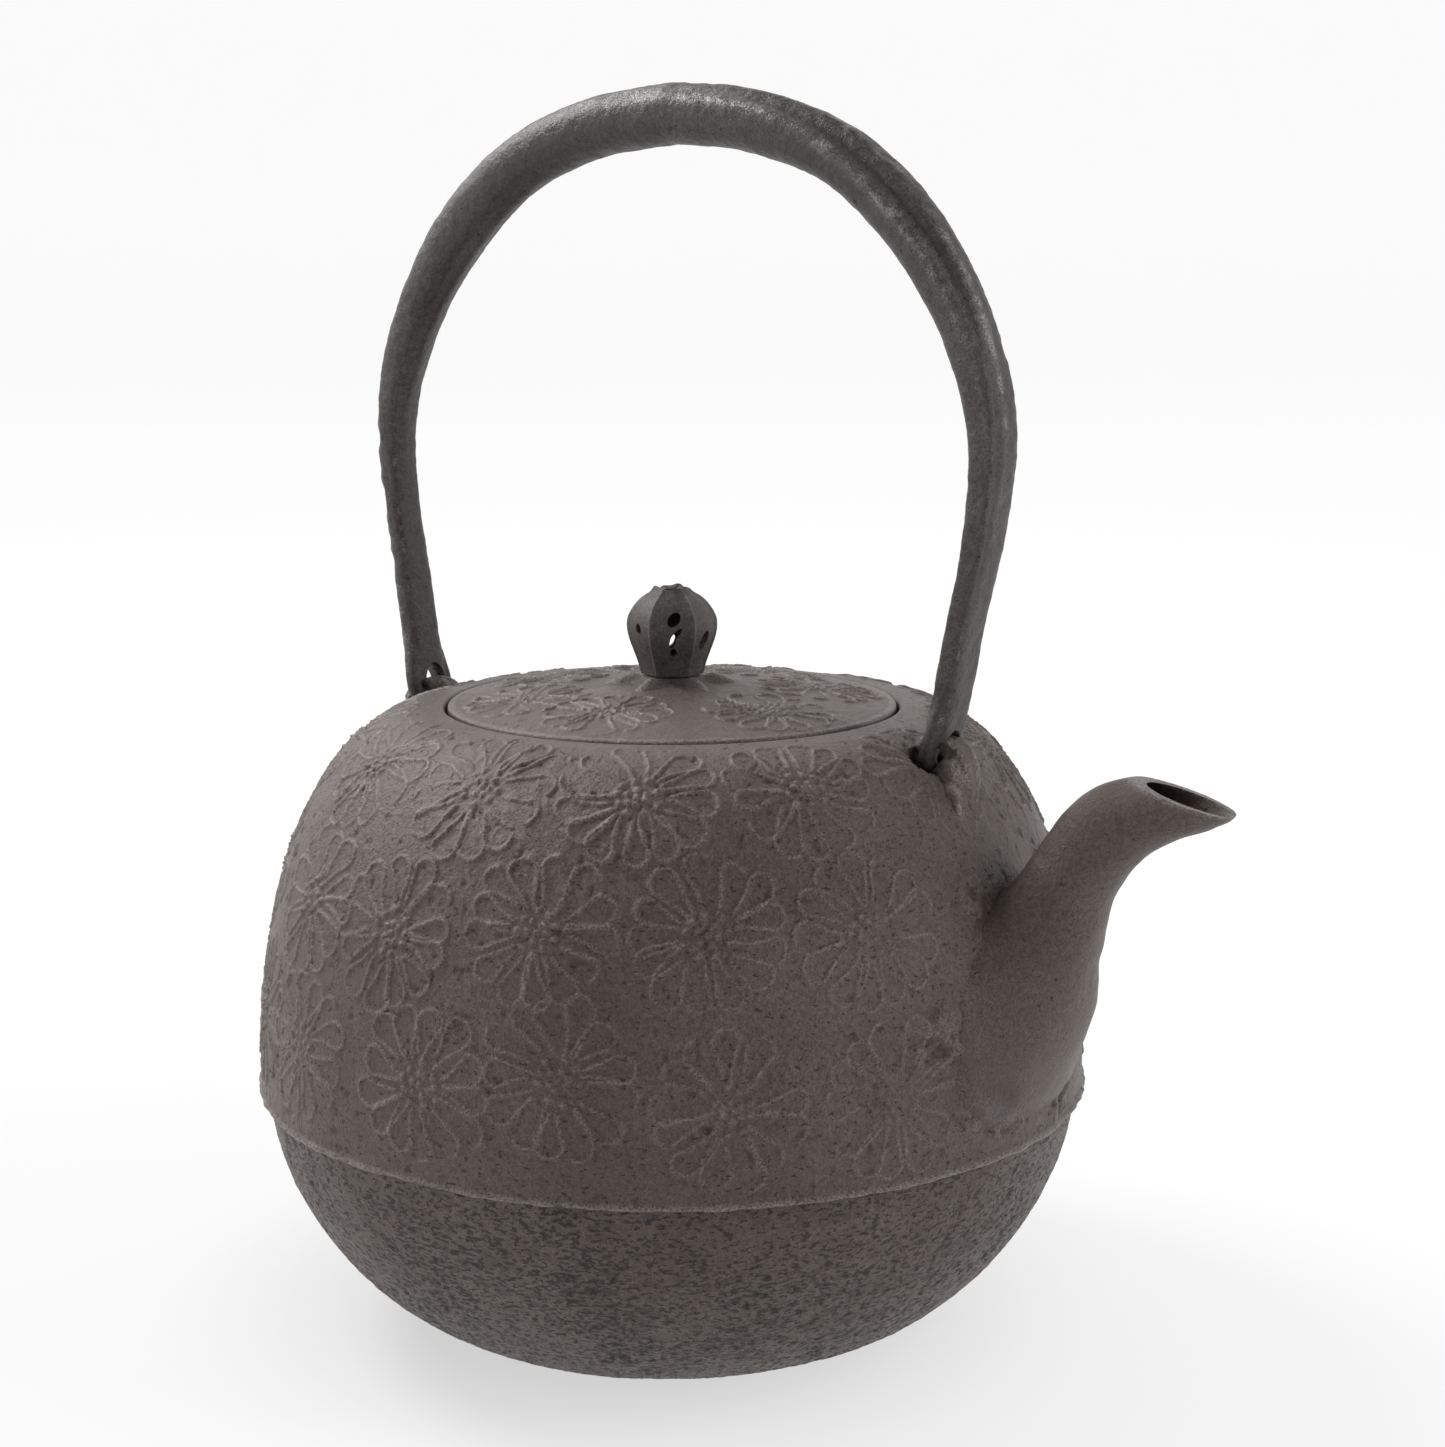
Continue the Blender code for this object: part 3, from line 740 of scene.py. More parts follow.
    faces = grid_faces(len(rows), BELLY_SIDES)
    points = points.reshape(-1, 3)
    for row, height in ((0, 0.0), (len(rows) - 1, FLOOR_Z)):
        points = np.vstack([points, [0, 0, height]])
        faces += hub_faces(len(points) - 1, row * BELLY_SIDES, BELLY_SIDES)
    made = mesh_object("pot_shell", points, faces)
    # Painted pale: the relief's ridges and dots, partly rubbed wear and partly painted highlight; a painted
    # highlight along the ledge's burr and on the tops of the lumps round the spout's root.
    rub_and_highlight = 0.8 + skin_noise((0.35, 3.0, 35))
    wear_and_highlight = np.clip(lines**1.6 + dots, 0, 1) * strength * rub_and_highlight + 0.8 * at_ledge
    wear_and_highlight += lump_zone * patch * 0.3 * (grit > 0.1)
    hubs = [0.0, 0.0]
    pitting = bowl * (0.55 + 0.45 * dense)
    # Painted shade: in the prongs' pockets, round the lugs, in a line under the ledge, in the pits and chips,
    # and in the low places between the lumps round the spout's root.
    shadow = np.clip(pocket / POCKET_R, 0, 1) + 0.15 * lug_rough + 0.9 * under_ledge
    shadow = shadow + np.clip(-pits / PIT_DEPTH, 0, 1) + np.clip(-chipped / CHIP_DEPTH, 0, 1) * 0.7
    shadow = shadow + np.clip(lump_zone * patch, 0, 1) * smoothstep(0.1, -0.5, grit) * 0.9
    set_looks(made, *(np.append(grid, hubs) for grid in (wear_and_highlight, shadow, pitting)))
    flow = np.vstack([drape, np.zeros((2, 3))]) * MM
    layer = made.data.attributes.new("flow", "FLOAT_VECTOR", "POINT")
    layer.data.foreach_set("vector", flow.astype(np.float32).ravel())
    return made


# ---------------------------------------------------------------- spout and lugs


def spout_channel():
    """Rings of the spout's bore, which starts inside the belly and runs on out of the mouth."""
    path = smooth_stations(SPOUT[:-2], 8)
    walls = np.linspace(SPOUT_ROOT_WALL, SPOUT_MOUTH_WALL, len(path))
    ends = []
    for end, inner, reach in ((0, 1, 6), (-1, -2, 10)):
        away = path[end, :2] - path[inner, :2]
        station = path[end].copy()
        station[:2] += reach * away / np.linalg.norm(away)
        ends.append(station)
    path = np.vstack([ends[0], path, ends[1]])
    walls = np.concatenate([[walls[0]], walls, [walls[-1]]])
    return section_rings(path, 40, inset=walls)


def belly_plug(grow):
    """The solid that the belly fills, grown outward."""
    outline = belly_line(40, 60)
    outline[:, 0] += grow
    profile = np.vstack([[(0.0, -3.0)], outline, [(0.0, outline[-1, 1])]])
    return turned("belly_plug", profile, 96, sharp=None)


def make_spout():
    path = smooth_stations(SPOUT, 14)
    rings = section_rings(path, 88, power=2.0 + 0.45 * smoothstep(80.0, 66.0, path[:, 0]))
    centre = path[:, None, :2]
    offset = rings - np.stack([centre[..., 0], 0 * centre[..., 0], centre[..., 1]], -1)
    from_belly = np.hypot(rings[..., 0], rings[..., 1]) - belly_radius(rings[..., 2])
    outward = unit(offset)
    sideways = np.abs(outward[..., 1]) ** 1.5
    under = np.clip(outward[..., 0], 0, 1) * 1.2
    near_belly = np.clip(1 - np.clip(from_belly, 0, None) / (7.0 + 5.0 * sideways), 0, 1)
    flare = np.clip(1.2 + 3.2 * sideways - 2.2 * under, 0, None) * near_belly**3
    rings = rings + outward * flare[..., None]
    flat = rings.reshape(-1, 3)
    lump = noises(flat, (0.42, 15.0, 41), (0.28, 6.0, 42), (0.11, 2.4, 43))
    lump *= 1 - 0.65 * smoothstep(92, 104, flat[:, 0])
    # Metal ran out of the mould at the root's lower corner and set in lumps.
    lump += spot(flat[:, 1], flat[:, 2], *SPILT) * (0.3 + 1.1 * noise(flat, 2.6, 45))
    rings = rings + outward * lump.reshape(rings.shape[:2])[..., None]
    spout = lofted("spout_shell", rings)
    cut(spout, lofted("cut_channel", spout_channel()))
    # The mouth is sawn off by a sloping plane through the back lip and the tip.
    (back_x, back_z), (tip_x, tip_z) = SPOUT_BACK_LIP, SPOUT_TIP
    slope = np.array((tip_x - back_x, 0.0, tip_z - back_z))
    slope /= np.linalg.norm(slope)
    up = np.array((-slope[2], 0.0, slope[0]))
    start = np.array((back_x, 0.0, back_z)) - 2 * slope
    wide = np.array((0.0, 15.0, 0.0))
    low = np.array([start - wide, start + 40 * slope - wide, start + 40 * slope + wide, start + wide])
    cut(spout, lofted("cut_mouth", [low, low + 25 * up]))
    cut(spout, belly_plug(-1.0))
    bevel(spout, 0.32, 38, 3)
    smooth(spout, 50)
    points = vertex_array(spout)
    # Painted highlight round the rim, which pouring and wiping have also polished; patchy pale wear and
    # painted shade along the join with the belly, and painted shade in the hollows among the spilt lumps.
    height = (points - np.array((back_x, 0.0, back_z))) @ up
    rim = bell(height, 0, 0.45) * (points[:, 0] > 90)
    near = np.hypot(points[:, 0], points[:, 1]) - belly_radius(points[:, 2])
    weld = bell(near, 0, 2.5) * smoothstep(0.0, 0.5, noise(points, 4.0, 44))
    sunk = spot(points[:, 1], points[:, 2], *SPILT) * smoothstep(0.0, -0.4, noise(points, 2.6, 45))
    set_looks(spout, 0.85 * rim + 0.3 * weld, 0.35 * weld + sunk)
    return spout


def make_lug(name, sign):
    outline = np.array(LUG_OUTLINE) * (sign, 1)
    middle = outline.mean(0)
    inner_y = LUG_HALF_Y - 0.9
    sides = []
    for y, shrink in ((-LUG_HALF_Y, 0.9), (-inner_y, 1.0), (inner_y, 1.0), (LUG_HALF_Y, 0.9)):
        ring = middle + (outline - middle) * shrink
        sides.append(np.insert(ring, 1, y, axis=1))
    lug = lofted(name, sides)
    tail = np.array(LUG_TAIL) * (sign, 1, 1)
    lug = join([lug, round_bar("lug_tail", tail, LUG_TAIL_R, 16)], name)
    remesh(lug, 0.32, 0)
    eye = sign * EYE_X + lean(EYE_Z)
    hole = rod("lug_hole", (eye, -7, EYE_Z), (eye, 7, EYE_Z), EYE_R, EYE_R, 20)
    cut(lug, hole)
    remesh(lug, 0.32, 3)
    points, normals = vertex_array(lug), read_vertices(lug, "normal")
    face = smoothstep(0.35, 0.8, -normals[:, 1])
    bumps = noises(points, (0.16, 2.6, 51), (0.14, 1.2, 52)) + face * noises(points, (0.28, 1.7, 53))
    low = smoothstep(112.0, 106.0, points[:, 2])
    broken = np.clip(face + low, 0, 1)
    bumps += broken * noises(points, (0.5, 2.4, 54), (0.26, 1.1, 55))
    move_vertices(lug, points + bumps[:, None] * normals)
    # Paler specks on the crests, a painted highlight on the faces that turn towards -Y and upward and
    # outward, and painted shade in the low places of the broken skin and towards the lug's foot.
    crest = smoothstep(0.25, 0.6, noise(points, 1.4, 53) + 0.2 * face)
    rim = bell(normals[:, 1], -0.55, 0.25) * smoothstep(0.2, 0.6, sign * normals[:, 0] + normals[:, 2])
    set_looks(lug, 0.45 * crest + 0.8 * rim, 0.8 * broken * smoothstep(0.05, -0.3, bumps) + 0.3 * low)
    return lug


# ---------------------------------------------------------------- handle


def handle_path():
    """The arch's middle line from the rear leg's end to the front leg's, with its half sizes."""
    half = smooth_stations(HANDLE, 16)
    mirrored = half[:0:-1].copy()
    mirrored[:, 0] *= -1
    # The rear leg was drawn out narrower than the front one.
    mirrored[:, 3] -= 1.1 * bell(mirrored[:, 1], 165, 22)
    path = np.vstack([mirrored, half])
    path[:, 0] += lean(path[:, 1])
    run = run_along(path[:, :2])
    return path, run / run[-1]


def around_handle(points, path, along):
    """Where each point lies on the handle: its place along the arch, 0 to 1, and the angle round it."""
    tangents = unit(np.gradient(path[:, :2], axis=0))
    nearest = np.empty(len(points), np.int64)
    for start in range(0, len(points), 20000):
        part = points[start : start + 20000][:, [0, 2]]
        gap = ((part[:, None] - path[None, :, :2]) ** 2).sum(-1)
        nearest[start : start + 20000] = gap.argmin(1)
    offset = points[:, [0, 2]] - path[nearest, :2]
    outward = -(offset[:, 0] * -tangents[nearest, 1] + offset[:, 1] * tangents[nearest, 0])
    return along[nearest], np.degrees(np.arctan2(points[:, 1], -outward))


def turned_angle(angle, middle):
    """The signed difference between angles in degrees."""
    return (angle - middle + 180) % 360 - 180


def fold_drift(along):
    """The angle of the forging fold's valley at each place along the arch."""
    return -34 - 20 * smoothstep(0.55, 0.66, along) + 8 * smoothstep(0.66, 0.8, along)


def make_handle():
    path, along = handle_path()
    rear = path[:, 0] < 0
    flatness = smoothstep(205.0, 150.0, path[:, 1])
    power = 2.05 + np.where(rear, 0.9, 2.4) * flatness
    sides = 72
    rings = section_rings(path, sides, power=power)
    # Angle round the section: 0 faces out of the arch, -90 faces -Y.
    angle = np.arange(sides) * 360 / sides
    centre = np.stack([path[:, 0], 0 * path[:, 0], path[:, 1]], -1)[:, None]
    outward = unit(rings - centre)

    def stretch(start, peak, last):
        return smoothstep(start, peak, along) * (1 - smoothstep(peak, last, along))

    def fold(place, depth, width):
        gap = turned_angle(angle[None, :], place[:, None])
        valley = -depth[:, None] * bell(gap, 0, width)
        lobe = 0.55 * depth[:, None] * bell(gap, -28, 13)
        outer = 0.15 * depth[:, None] * bell(gap, 30, 16)
        return valley + lobe + outer

    lift = fold(fold_drift(along), 0.85 * stretch(0.47, 0.6, 0.77), 21)
    lift += fold(fold_drift(along), 0.75 * stretch(0.6, 0.69, 0.8), 8)
    lift += fold(-148 + 12 * along, 0.7 * stretch(0.08, 0.3, 0.46), 13)
    lift += fold(np.full(len(along), -30.0), 0.5 * stretch(0.76, 0.83, 0.95), 9)
    rings = rings + outward * lift[..., None]
    bars = [lofted("handle_arch", rings)]
    for x_sign in (1, -1):
        for y_sign in (1, -1):
            points = [(x_sign * x + lean(z), y_sign * y, z) for x, y, z in PRONG_PATH]
            bars.append(round_bar("prong", points, PRONG_R, 16))
    handle = join(bars, "handle_forging")
    remesh(handle, 0.38, 2)
    for sign in (1, -1):
        foot = sign * 60.0 + lean(119)
        level = 116.5 if sign > 0 else 118.3
        arch = rod("cut_arch", (foot - sign * 7, 0, level), (foot + sign * 7, 0, level), 3.0, 4.0, 24)
        cut(handle, arch)
    smooth(handle)
    points, normals = vertex_array(handle), read_vertices(handle, "normal")
    place, turn = around_handle(points, path, along)
    height = points[:, 2]
    tips = smoothstep(122.0, 118.0, height)
    on_rear = points[:, 0] < 0
    leg = smoothstep(185.0, 160.0, height)
    hammer = noises(points, (0.13, 11.0, 61), (0.08, 4.2, 62))
    outer_edge = bell(turned_angle(turn, -16), 0, 22) * smoothstep(0.585, 0.62, place)
    outer_edge = outer_edge * (1 - smoothstep(0.65, 0.68, place))
    scaly = np.clip(outer_edge, 0, 1)
    hammer += scaly * noises(points, (0.26, 3.4, 63), (0.16, 1.6, 68))
    # A rough seam runs down the rear leg's face and ends in a sharp ridge.
    seam_at = -52 - 18 * smoothstep(0.16, 0.05, place)
    seam = bell(turned_angle(turn, seam_at), 0, 14) * on_rear * leg
    seam_rough = seam * smoothstep(135.0, 150.0, height)
    scabs = noise(points, 2.8, 69)
    hammer += seam_rough * (0.5 * scabs - 0.15) + 0.35 * (seam - seam_rough)
    grit = noises(points, (0.09, 1.6, 64), (0.05, 0.8, 65))
    move_vertices(handle, points + ((hammer + grit) * (1 - 0.8 * tips))[:, None] * normals)
    # The crests get pale specks, partly rubbed wear and partly painted highlight: along the top, down the
    # fold's inner lobe, at the legs' edges.
    spots = smoothstep(-0.25, 0.5, noises(points, (1.0, 1.5, 66), (0.4, 6.0, 67)))
    top_crest = 0.7 * bell(turned_angle(turn, -38), 0, 13) * bell(place, 0.49, 0.06)
    lobe_crest = bell(turned_angle(turn, fold_drift(place) - 27), 0, 12) * bell(place, 0.62, 0.13)
    outer_crest = bell(turned_angle(turn, -22), 0, 11) * bell(place, 0.76, 0.075)
    leg_edge = bell(np.abs(normals[:, 1]), 0.72, 0.12) * leg * 0.5
    wear_and_highlight = (top_crest + 1.2 * lobe_crest + 1.2 * outer_crest + seam) * (0.3 + 0.9 * spots) + leg_edge * spots
    wear_and_highlight += 0.45 * spots * scaly
    # Painted shade in the fold's valley, on the prongs' tips and in the low places of the rear leg's rough
    # seam.
    valley = bell(turned_angle(turn, fold_drift(place)), 0, 9) * bell(place, 0.66, 0.07)
    pitted = seam_rough * smoothstep(0.1, -0.3, scabs)
    set_looks(handle, np.clip(wear_and_highlight, 0, 1) * (1 - tips), 0.6 * tips + 0.5 * valley + 0.9 * pitted)
    return handle


# ---------------------------------------------------------------- lid, seat, knob


def dome(radius):
    return LID_Z + LID_DOME * (1 - (radius / LID_R) ** 2)


def make_lid():
    columns = 800
    step = 0.36
    angles = ring_angles(columns)
    radii = np.linspace(LID_R - 0.75, RIVET_HOLE_R + 0.1, int((LID_R - 3) / step))
    top = np.stack([radii, dome(radii)], 1)
    edge = np.array([(LID_R, 118.6), (LID_R + 0.02, 119.3), (LID_R - 0.05, 119.75), (LID_R - 0.35, 120.05)])
    under = [(RIVET_HOLE_R, dome(2) - LID_WALL)]
    under += [(radius, dome(radius) - LID_WALL) for radius in (10.5, 20.0, 29.0, 33.2)]
    inner, outer = LID_RING
    under += [(inner, 117.4), (inner, LID_RING_Z + 0.3), (inner + 0.3, LID_RING_Z), (outer - 0.3, LID_RING_Z)]
    under += [(outer, LID_RING_Z + 0.3), (outer, 117.8), (outer + 0.3, 118.0)]
    under += [(LID_R - 0.5, 118.0), (LID_R - 0.1, 118.2)]
    rows = np.vstack([edge, top, under])
    top_rows = slice(len(edge), len(edge) + len(top))
    base = about_axis(rows[:, :1], angles, rows[:, 1:])
    flat = base[top_rows].reshape(-1, 3)
    lines, dots = np.zeros(len(flat)), np.zeros(len(flat))
    draw = np.random.default_rng(9)
    for angle, distance in LID_FLOWERS:
        middle = distance * np.array((math.cos(math.radians(angle)), math.sin(math.radians(angle))))
        own = np.random.default_rng(int(draw.integers(1, 10**6)))
        away = flat[:, :2] - middle
        near = np.linalg.norm(away, axis=1) < LID_FLOWER_R + 1.5
        ridge, dot = flower_heights(away[near], LID_FLOWER_R, PETALS - 1, own)
        lines[near] = np.maximum(lines[near], ridge)
        dots[near] = np.maximum(dots[near], dot)
    from_axis = np.linalg.norm(flat[:, :2], axis=1)
    strength = smoothstep(LID_R - 0.8, LID_R - 2.8, from_axis) * smoothstep(9.0, 12.5, from_axis)
    strength *= np.clip(0.85 + 0.35 * noise(flat, 6.0, 71), 0, 1.2)
    calm = smoothstep(LID_R - 0.2, LID_R - 1.6, from_axis)
    skin = noises(flat, (0.10, 9.0, 72), (0.10, 3.0, 73), (0.08, 1.4, 74))
    lift = (0.5 * lines + 0.8 * dots) * strength + skin * calm
    base[top_rows][..., 2] += lift.reshape(-1, columns)
    made = lofted("lid_plate", base, closed=True, sharp=60)
    # Paler relief lines and dots, partly rubbed wear and partly painted highlight, and a painted highlight
    # along the lid's edge.
    wear_and_highlight = np.zeros(base.shape[:2])
    wear_and_highlight[top_rows] = (np.clip(1.6 * lines**1.5 + dots, 0, 1) * strength).reshape(-1, columns)
    wear_and_highlight[2 : len(edge) + 2] += 0.35
    set_looks(made, wear_and_highlight.ravel())
    return made


def off_hollow(angle):
    """0 in the hollows between the seat's ridges, 1 on the ridges."""
    return np.abs(np.cos(KNOB_PANELS / 2 * (angle - KNOB_TURN) + math.pi / 2))


def make_seat():
    """The flared foot under the knob: six ridges run out of the knob's corners and sink into the lid."""
    columns, steps = 144, 26
    angles = ring_angles(columns)
    on_ridge = off_hollow(angles) ** 5
    reach = 9.4 + 3.8 * on_ridge[None, :]
    part = np.linspace(0.0, 1.0, steps)[:, None]
    neck = 5.9 + 0.6 * on_ridge[None, :]
    radius = neck + (reach - neck) * part
    rise = (1 - part) ** (2.5 - 1.5 * on_ridge[None, :])
    floor = dome(radius) - 0.12
    height = floor + (SEAT_TOP_Z - floor) * rise + 0.75 * on_ridge[None, :] * np.sin(math.pi * part**0.6)
    flat = about_axis(radius, angles, height)
    top = flat.reshape(-1, 3)
    bump = 0.12 * noise(top, 2.4, 81) * np.repeat(smoothstep(0.0, 0.25, part[:, 0]), columns)
    flat[..., 2] += bump.reshape(steps, columns)
    top_ring, low_ring = (about_axis(RIVET_HOLE_R, angles, z) for z in (SEAT_TOP_Z, SEAT_BORE_Z))
    rings = [top_ring, *flat, flat[-1] - (0.0, 0.0, 0.5), low_ring]
    made = lofted("knob_flare", rings, closed=True, sharp=70)
    points = vertex_array(made)
    angle = np.arctan2(points[:, 1], points[:, 0])
    crest = off_hollow(angle) ** 12
    hollow = 1 - off_hollow(angle) ** 3
    near_neck = smoothstep(8.6, 6.6, np.hypot(points[:, 0], points[:, 1]))
    # Paler ridge crests, and painted shade in the hollows between the ridges near the neck.
    set_looks(made, 0.6 * crest, 0.9 * hollow * near_neck)
    return made


def panelled(outline, ribbed, sides):
    """Rings for the bud: six flats, with a thin raised rib between each pair when ribbed."""
    angle = ring_angles(sides)
    turn = (angle * KNOB_PANELS / (2 * math.pi) + 0.5) % 1.0 - 0.5
    rings = []
    for radius, height in outline:
        flat = math.cos(math.pi / KNOB_PANELS) / np.cos(turn * 2 * math.pi / KNOB_PANELS)
        reach = radius * (0.4 + 0.6 * flat) * 1.02
        if ribbed:
            from_rib = (0.5 - np.abs(turn)) * 2 * math.pi / KNOB_PANELS * radius
            reach = reach + 0.3 * bell(from_rib, 0, 0.36) * min(radius / 6, 1)
        rings.append(about_axis(reach, angle + KNOB_TURN, height))
    return np.array(rings)


def make_knob():
    outside = smooth_stations(KNOB_OUTLINE, 8)
    inside = np.vstack([[(RIVET_HOLE_R, 125.5), (RIVET_HOLE_R, 127.1)], smooth_stations(KNOB_INSIDE, 3)])
    sides = 120
    outer = panelled(outside, True, sides)
    # The crown is open and uneven, like a bud's tip.
    crown = smoothstep(140.8, 142.3, outer[..., 2])
    around = np.arctan2(outer[..., 1], outer[..., 0])
    outer[..., 2] += crown * (0.22 * np.cos(3 * around + 0.6) + 0.12 * np.cos(7 * around) - 0.1)
    inner = panelled(inside, False, sides)
    knob = lofted("knob_bud", np.concatenate([outer, inner[::-1]]), closed=True)

    def drill(turn, height, half_width, half_height, slant):
        angle = KNOB_TURN + turn
        along = np.array((math.cos(angle), math.sin(angle), 0.0))
        across = np.array((-math.sin(angle), math.cos(angle), 0.0))
        around = ring_angles(20)[:, None]
        ring = half_width * np.cos(around) * across + half_height * np.sin(around) * np.array((0, 0, 1.0))
        ring = ring + slant * ring[:, 2:3] * across
        middle = np.array((0, 0, height))
        cut(knob, lofted("drill", [middle + along * depth + ring for depth in (2.0, 12)]))

    for opening in KNOB_OPENINGS:
        drill(*opening)
    bevel(knob, 0.12, 55, 2)
    smooth(knob, 48)
    points = vertex_array(knob)
    around = np.arctan2(points[:, 1], points[:, 0]) - KNOB_TURN
    turn = (around * KNOB_PANELS / (2 * math.pi) + 0.5) % 1.0 - 0.5
    radius = np.hypot(points[:, 0], points[:, 1])
    from_rib = (0.5 - np.abs(turn)) * 2 * math.pi / KNOB_PANELS * radius
    rib = bell(from_rib, 0, 0.4) * (radius > 5) * smoothstep(131, 134, points[:, 2])
    # Paler ribs, and painted shade where the bud is narrower than 5.2 mm: its inside, seen through the
    # openings, and its crown.
    set_looks(knob, 0.75 * rib, 0.4 * (radius < 5.2))
    return knob


# ---------------------------------------------------------------- basket


def make_basket():
    # Outlines of the rolled rim and of the foot ring, out from their own radius and up from their own level.
    rim = [(-0.3, -7.0), (-0.3, 0.1), (-0.1, 0.45), (0.4, 0.6), (4.95, 0.6), (5.45, 0.7), (5.75, 0.4)]
    rim += [(5.75, 0.1), (5.35, 0.0), (0.9, 0.0), (0.4, -0.4), (0.25, -1.0), (0.25, -7.0)]
    foot = [(33.8, 0.6), (33.6, 0.3), (33.8, 0.0), (37.3, 0.0), (37.75, 0.25), (37.9, 0.8)]
    foot += [(37.9, 3.5), (37.8, 3.7), (37.55, 3.7), (37.55, 0.9), (37.2, 0.6)]
    rim = turned("basket_rim_ring", np.array(rim) + (BASKET_R, BASKET_RIM_Z), 160, sharp=40)
    foot = turned("basket_foot", np.array(foot) + (0.0, BASKET_FOOT_Z), 160, sharp=40)
    return rim, woven_wall(), woven_bottom(), foot


def wire(line, radius, closed, sides=5):
    """Points and faces of one thin wire along a line."""
    tangent = np.gradient(line, axis=0)
    if closed:
        tangent = np.roll(line, -1, 0) - np.roll(line, 1, 0)
    guess = (0.0, 0.0, 1.0) if abs(unit(tangent)[0][2]) < 0.7 else (1.0, 0.3, 0.0)
    rings = round_rings(line, tangent, guess, radius, sides)
    faces = grid_faces(len(line), sides, closed_rows=closed)
    if not closed:
        faces += [tuple(range(sides)), tuple(range((len(line) - 1) * sides, len(line) * sides))]
    return rings.reshape(-1, 3), faces


def gather(name, wires):
    points, faces, start = [], [], 0
    for own_points, own_faces in wires:
        points.append(own_points)
        faces += [tuple(i + start for i in face) for face in own_faces]
        start += len(own_points)
    return mesh_object(name, np.vstack(points), faces)


def woven_wall():
    """The basket's wall: upright wires woven over and under rings."""
    uprights, rings = ((132, 20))
    low, high, radius, wave = 73.9, BASKET_RIM_Z - 6.6, 0.17, 0.17
    wires = []
    heights = np.linspace(low + 0.6, high - 0.6, rings)
    steps = 4 * rings
    for index in range(uprights):
        angle = 2 * math.pi * index / uprights
        z = np.linspace(low, high, steps)
        phase = math.pi * (z - heights[0]) / (heights[1] - heights[0]) + math.pi * (index % 2)
        r = BASKET_R + wave * np.cos(phase)
        wires.append(wire(about_axis(r, angle, z), radius, False))
    turn = ring_angles(uprights * 4)
    for index, height in enumerate(heights):
        r = BASKET_R - wave * np.cos(uprights * turn / 2 + math.pi * (index % 2))
        wires.append(wire(about_axis(r, turn, height), radius, True))
    return gather("basket_mesh_wall", wires)


def woven_bottom():
    """The basket's bottom: two sets of crossing wires inside a circle."""
    pitch = 1.7
    reach, level, radius, wave = 35.4, BASKET_FOOT_Z + 1.15, 0.16, 0.14
    count = int(reach / pitch)
    wires = []
    for index in range(-count, count + 1):
        across = index * pitch
        half = math.sqrt(reach**2 - across**2) - 0.05
        steps = max(6, int(2 * half / pitch * 4))
        run = np.linspace(-half, half, steps)
        for sign, order in ((1, (0, 1, 2)), (-1, (1, 0, 2))):
            z = level + sign * wave * np.cos(math.pi * run / pitch) * (-1) ** index
            line = np.stack([0 * run + across, run, z], 1)[:, order]
            wires.append(wire(line, radius, False))
    return gather("basket_mesh_bottom", wires)


# ---------------------------------------------------------------- materials


def node(tree, kind, values=None, **settings):
    made = tree.nodes.new(kind)
    for key, value in settings.items():
        setattr(made, key, value)
    for key, value in (values or {}).items():
        if isinstance(value, bpy.types.NodeSocket):
            tree.links.new(value, made.inputs[key])
        else:
            made.inputs[key].default_value = value
    return made


def calculate(tree, operation, first, second=0.0, third=0.0, clamp=False):
    made = node(tree, "ShaderNodeMath", {0: first, 1: second, 2: third}, operation=operation)
    made.use_clamp = clamp
    return made.outputs[0]


def spread(tree, value, low, high, to_low=0.0, to_high=1.0):
    """value from low to high becomes to_low to to_high, clamped, with soft ends."""
    made = node(
        tree,
        "ShaderNodeMapRange",
        {"Value": value, "From Min": low, "From Max": high, "To Min": to_low, "To Max": to_high},
        interpolation_type="SMOOTHSTEP",
    )
    return made.outputs["Result"]


def mix(tree, factor, first, second, blend_type="MIX"):
    made = node(tree, "ShaderNodeMix", data_type="RGBA", blend_type=blend_type)
    for socket, value in (("Factor_Float", factor), ("A_Color", first), ("B_Color", second)):
        found = [s for s in made.inputs if s.identifier == socket][0]
        if isinstance(value, bpy.types.NodeSocket):
            tree.links.new(value, found)
        else:
            found.default_value = value
    return [s for s in made.outputs if s.identifier == "Result_Color"][0]


def cloud(tree, where, size, detail=3.0, roughness=0.55):
    """Noise about 0.5, with lumps about size millimetres across."""
    values = {"Vector": where, "Scale": 1.0 / (size * MM), "Detail": detail, "Roughness": roughness}
    return node(tree, "ShaderNodeTexNoise", values).outputs["Fac"]


def new_material(name):
    made = bpy.data.materials.new(name)
    made.use_nodes = True
    tree = made.node_tree
    return made, tree, tree.nodes["Principled BSDF"]


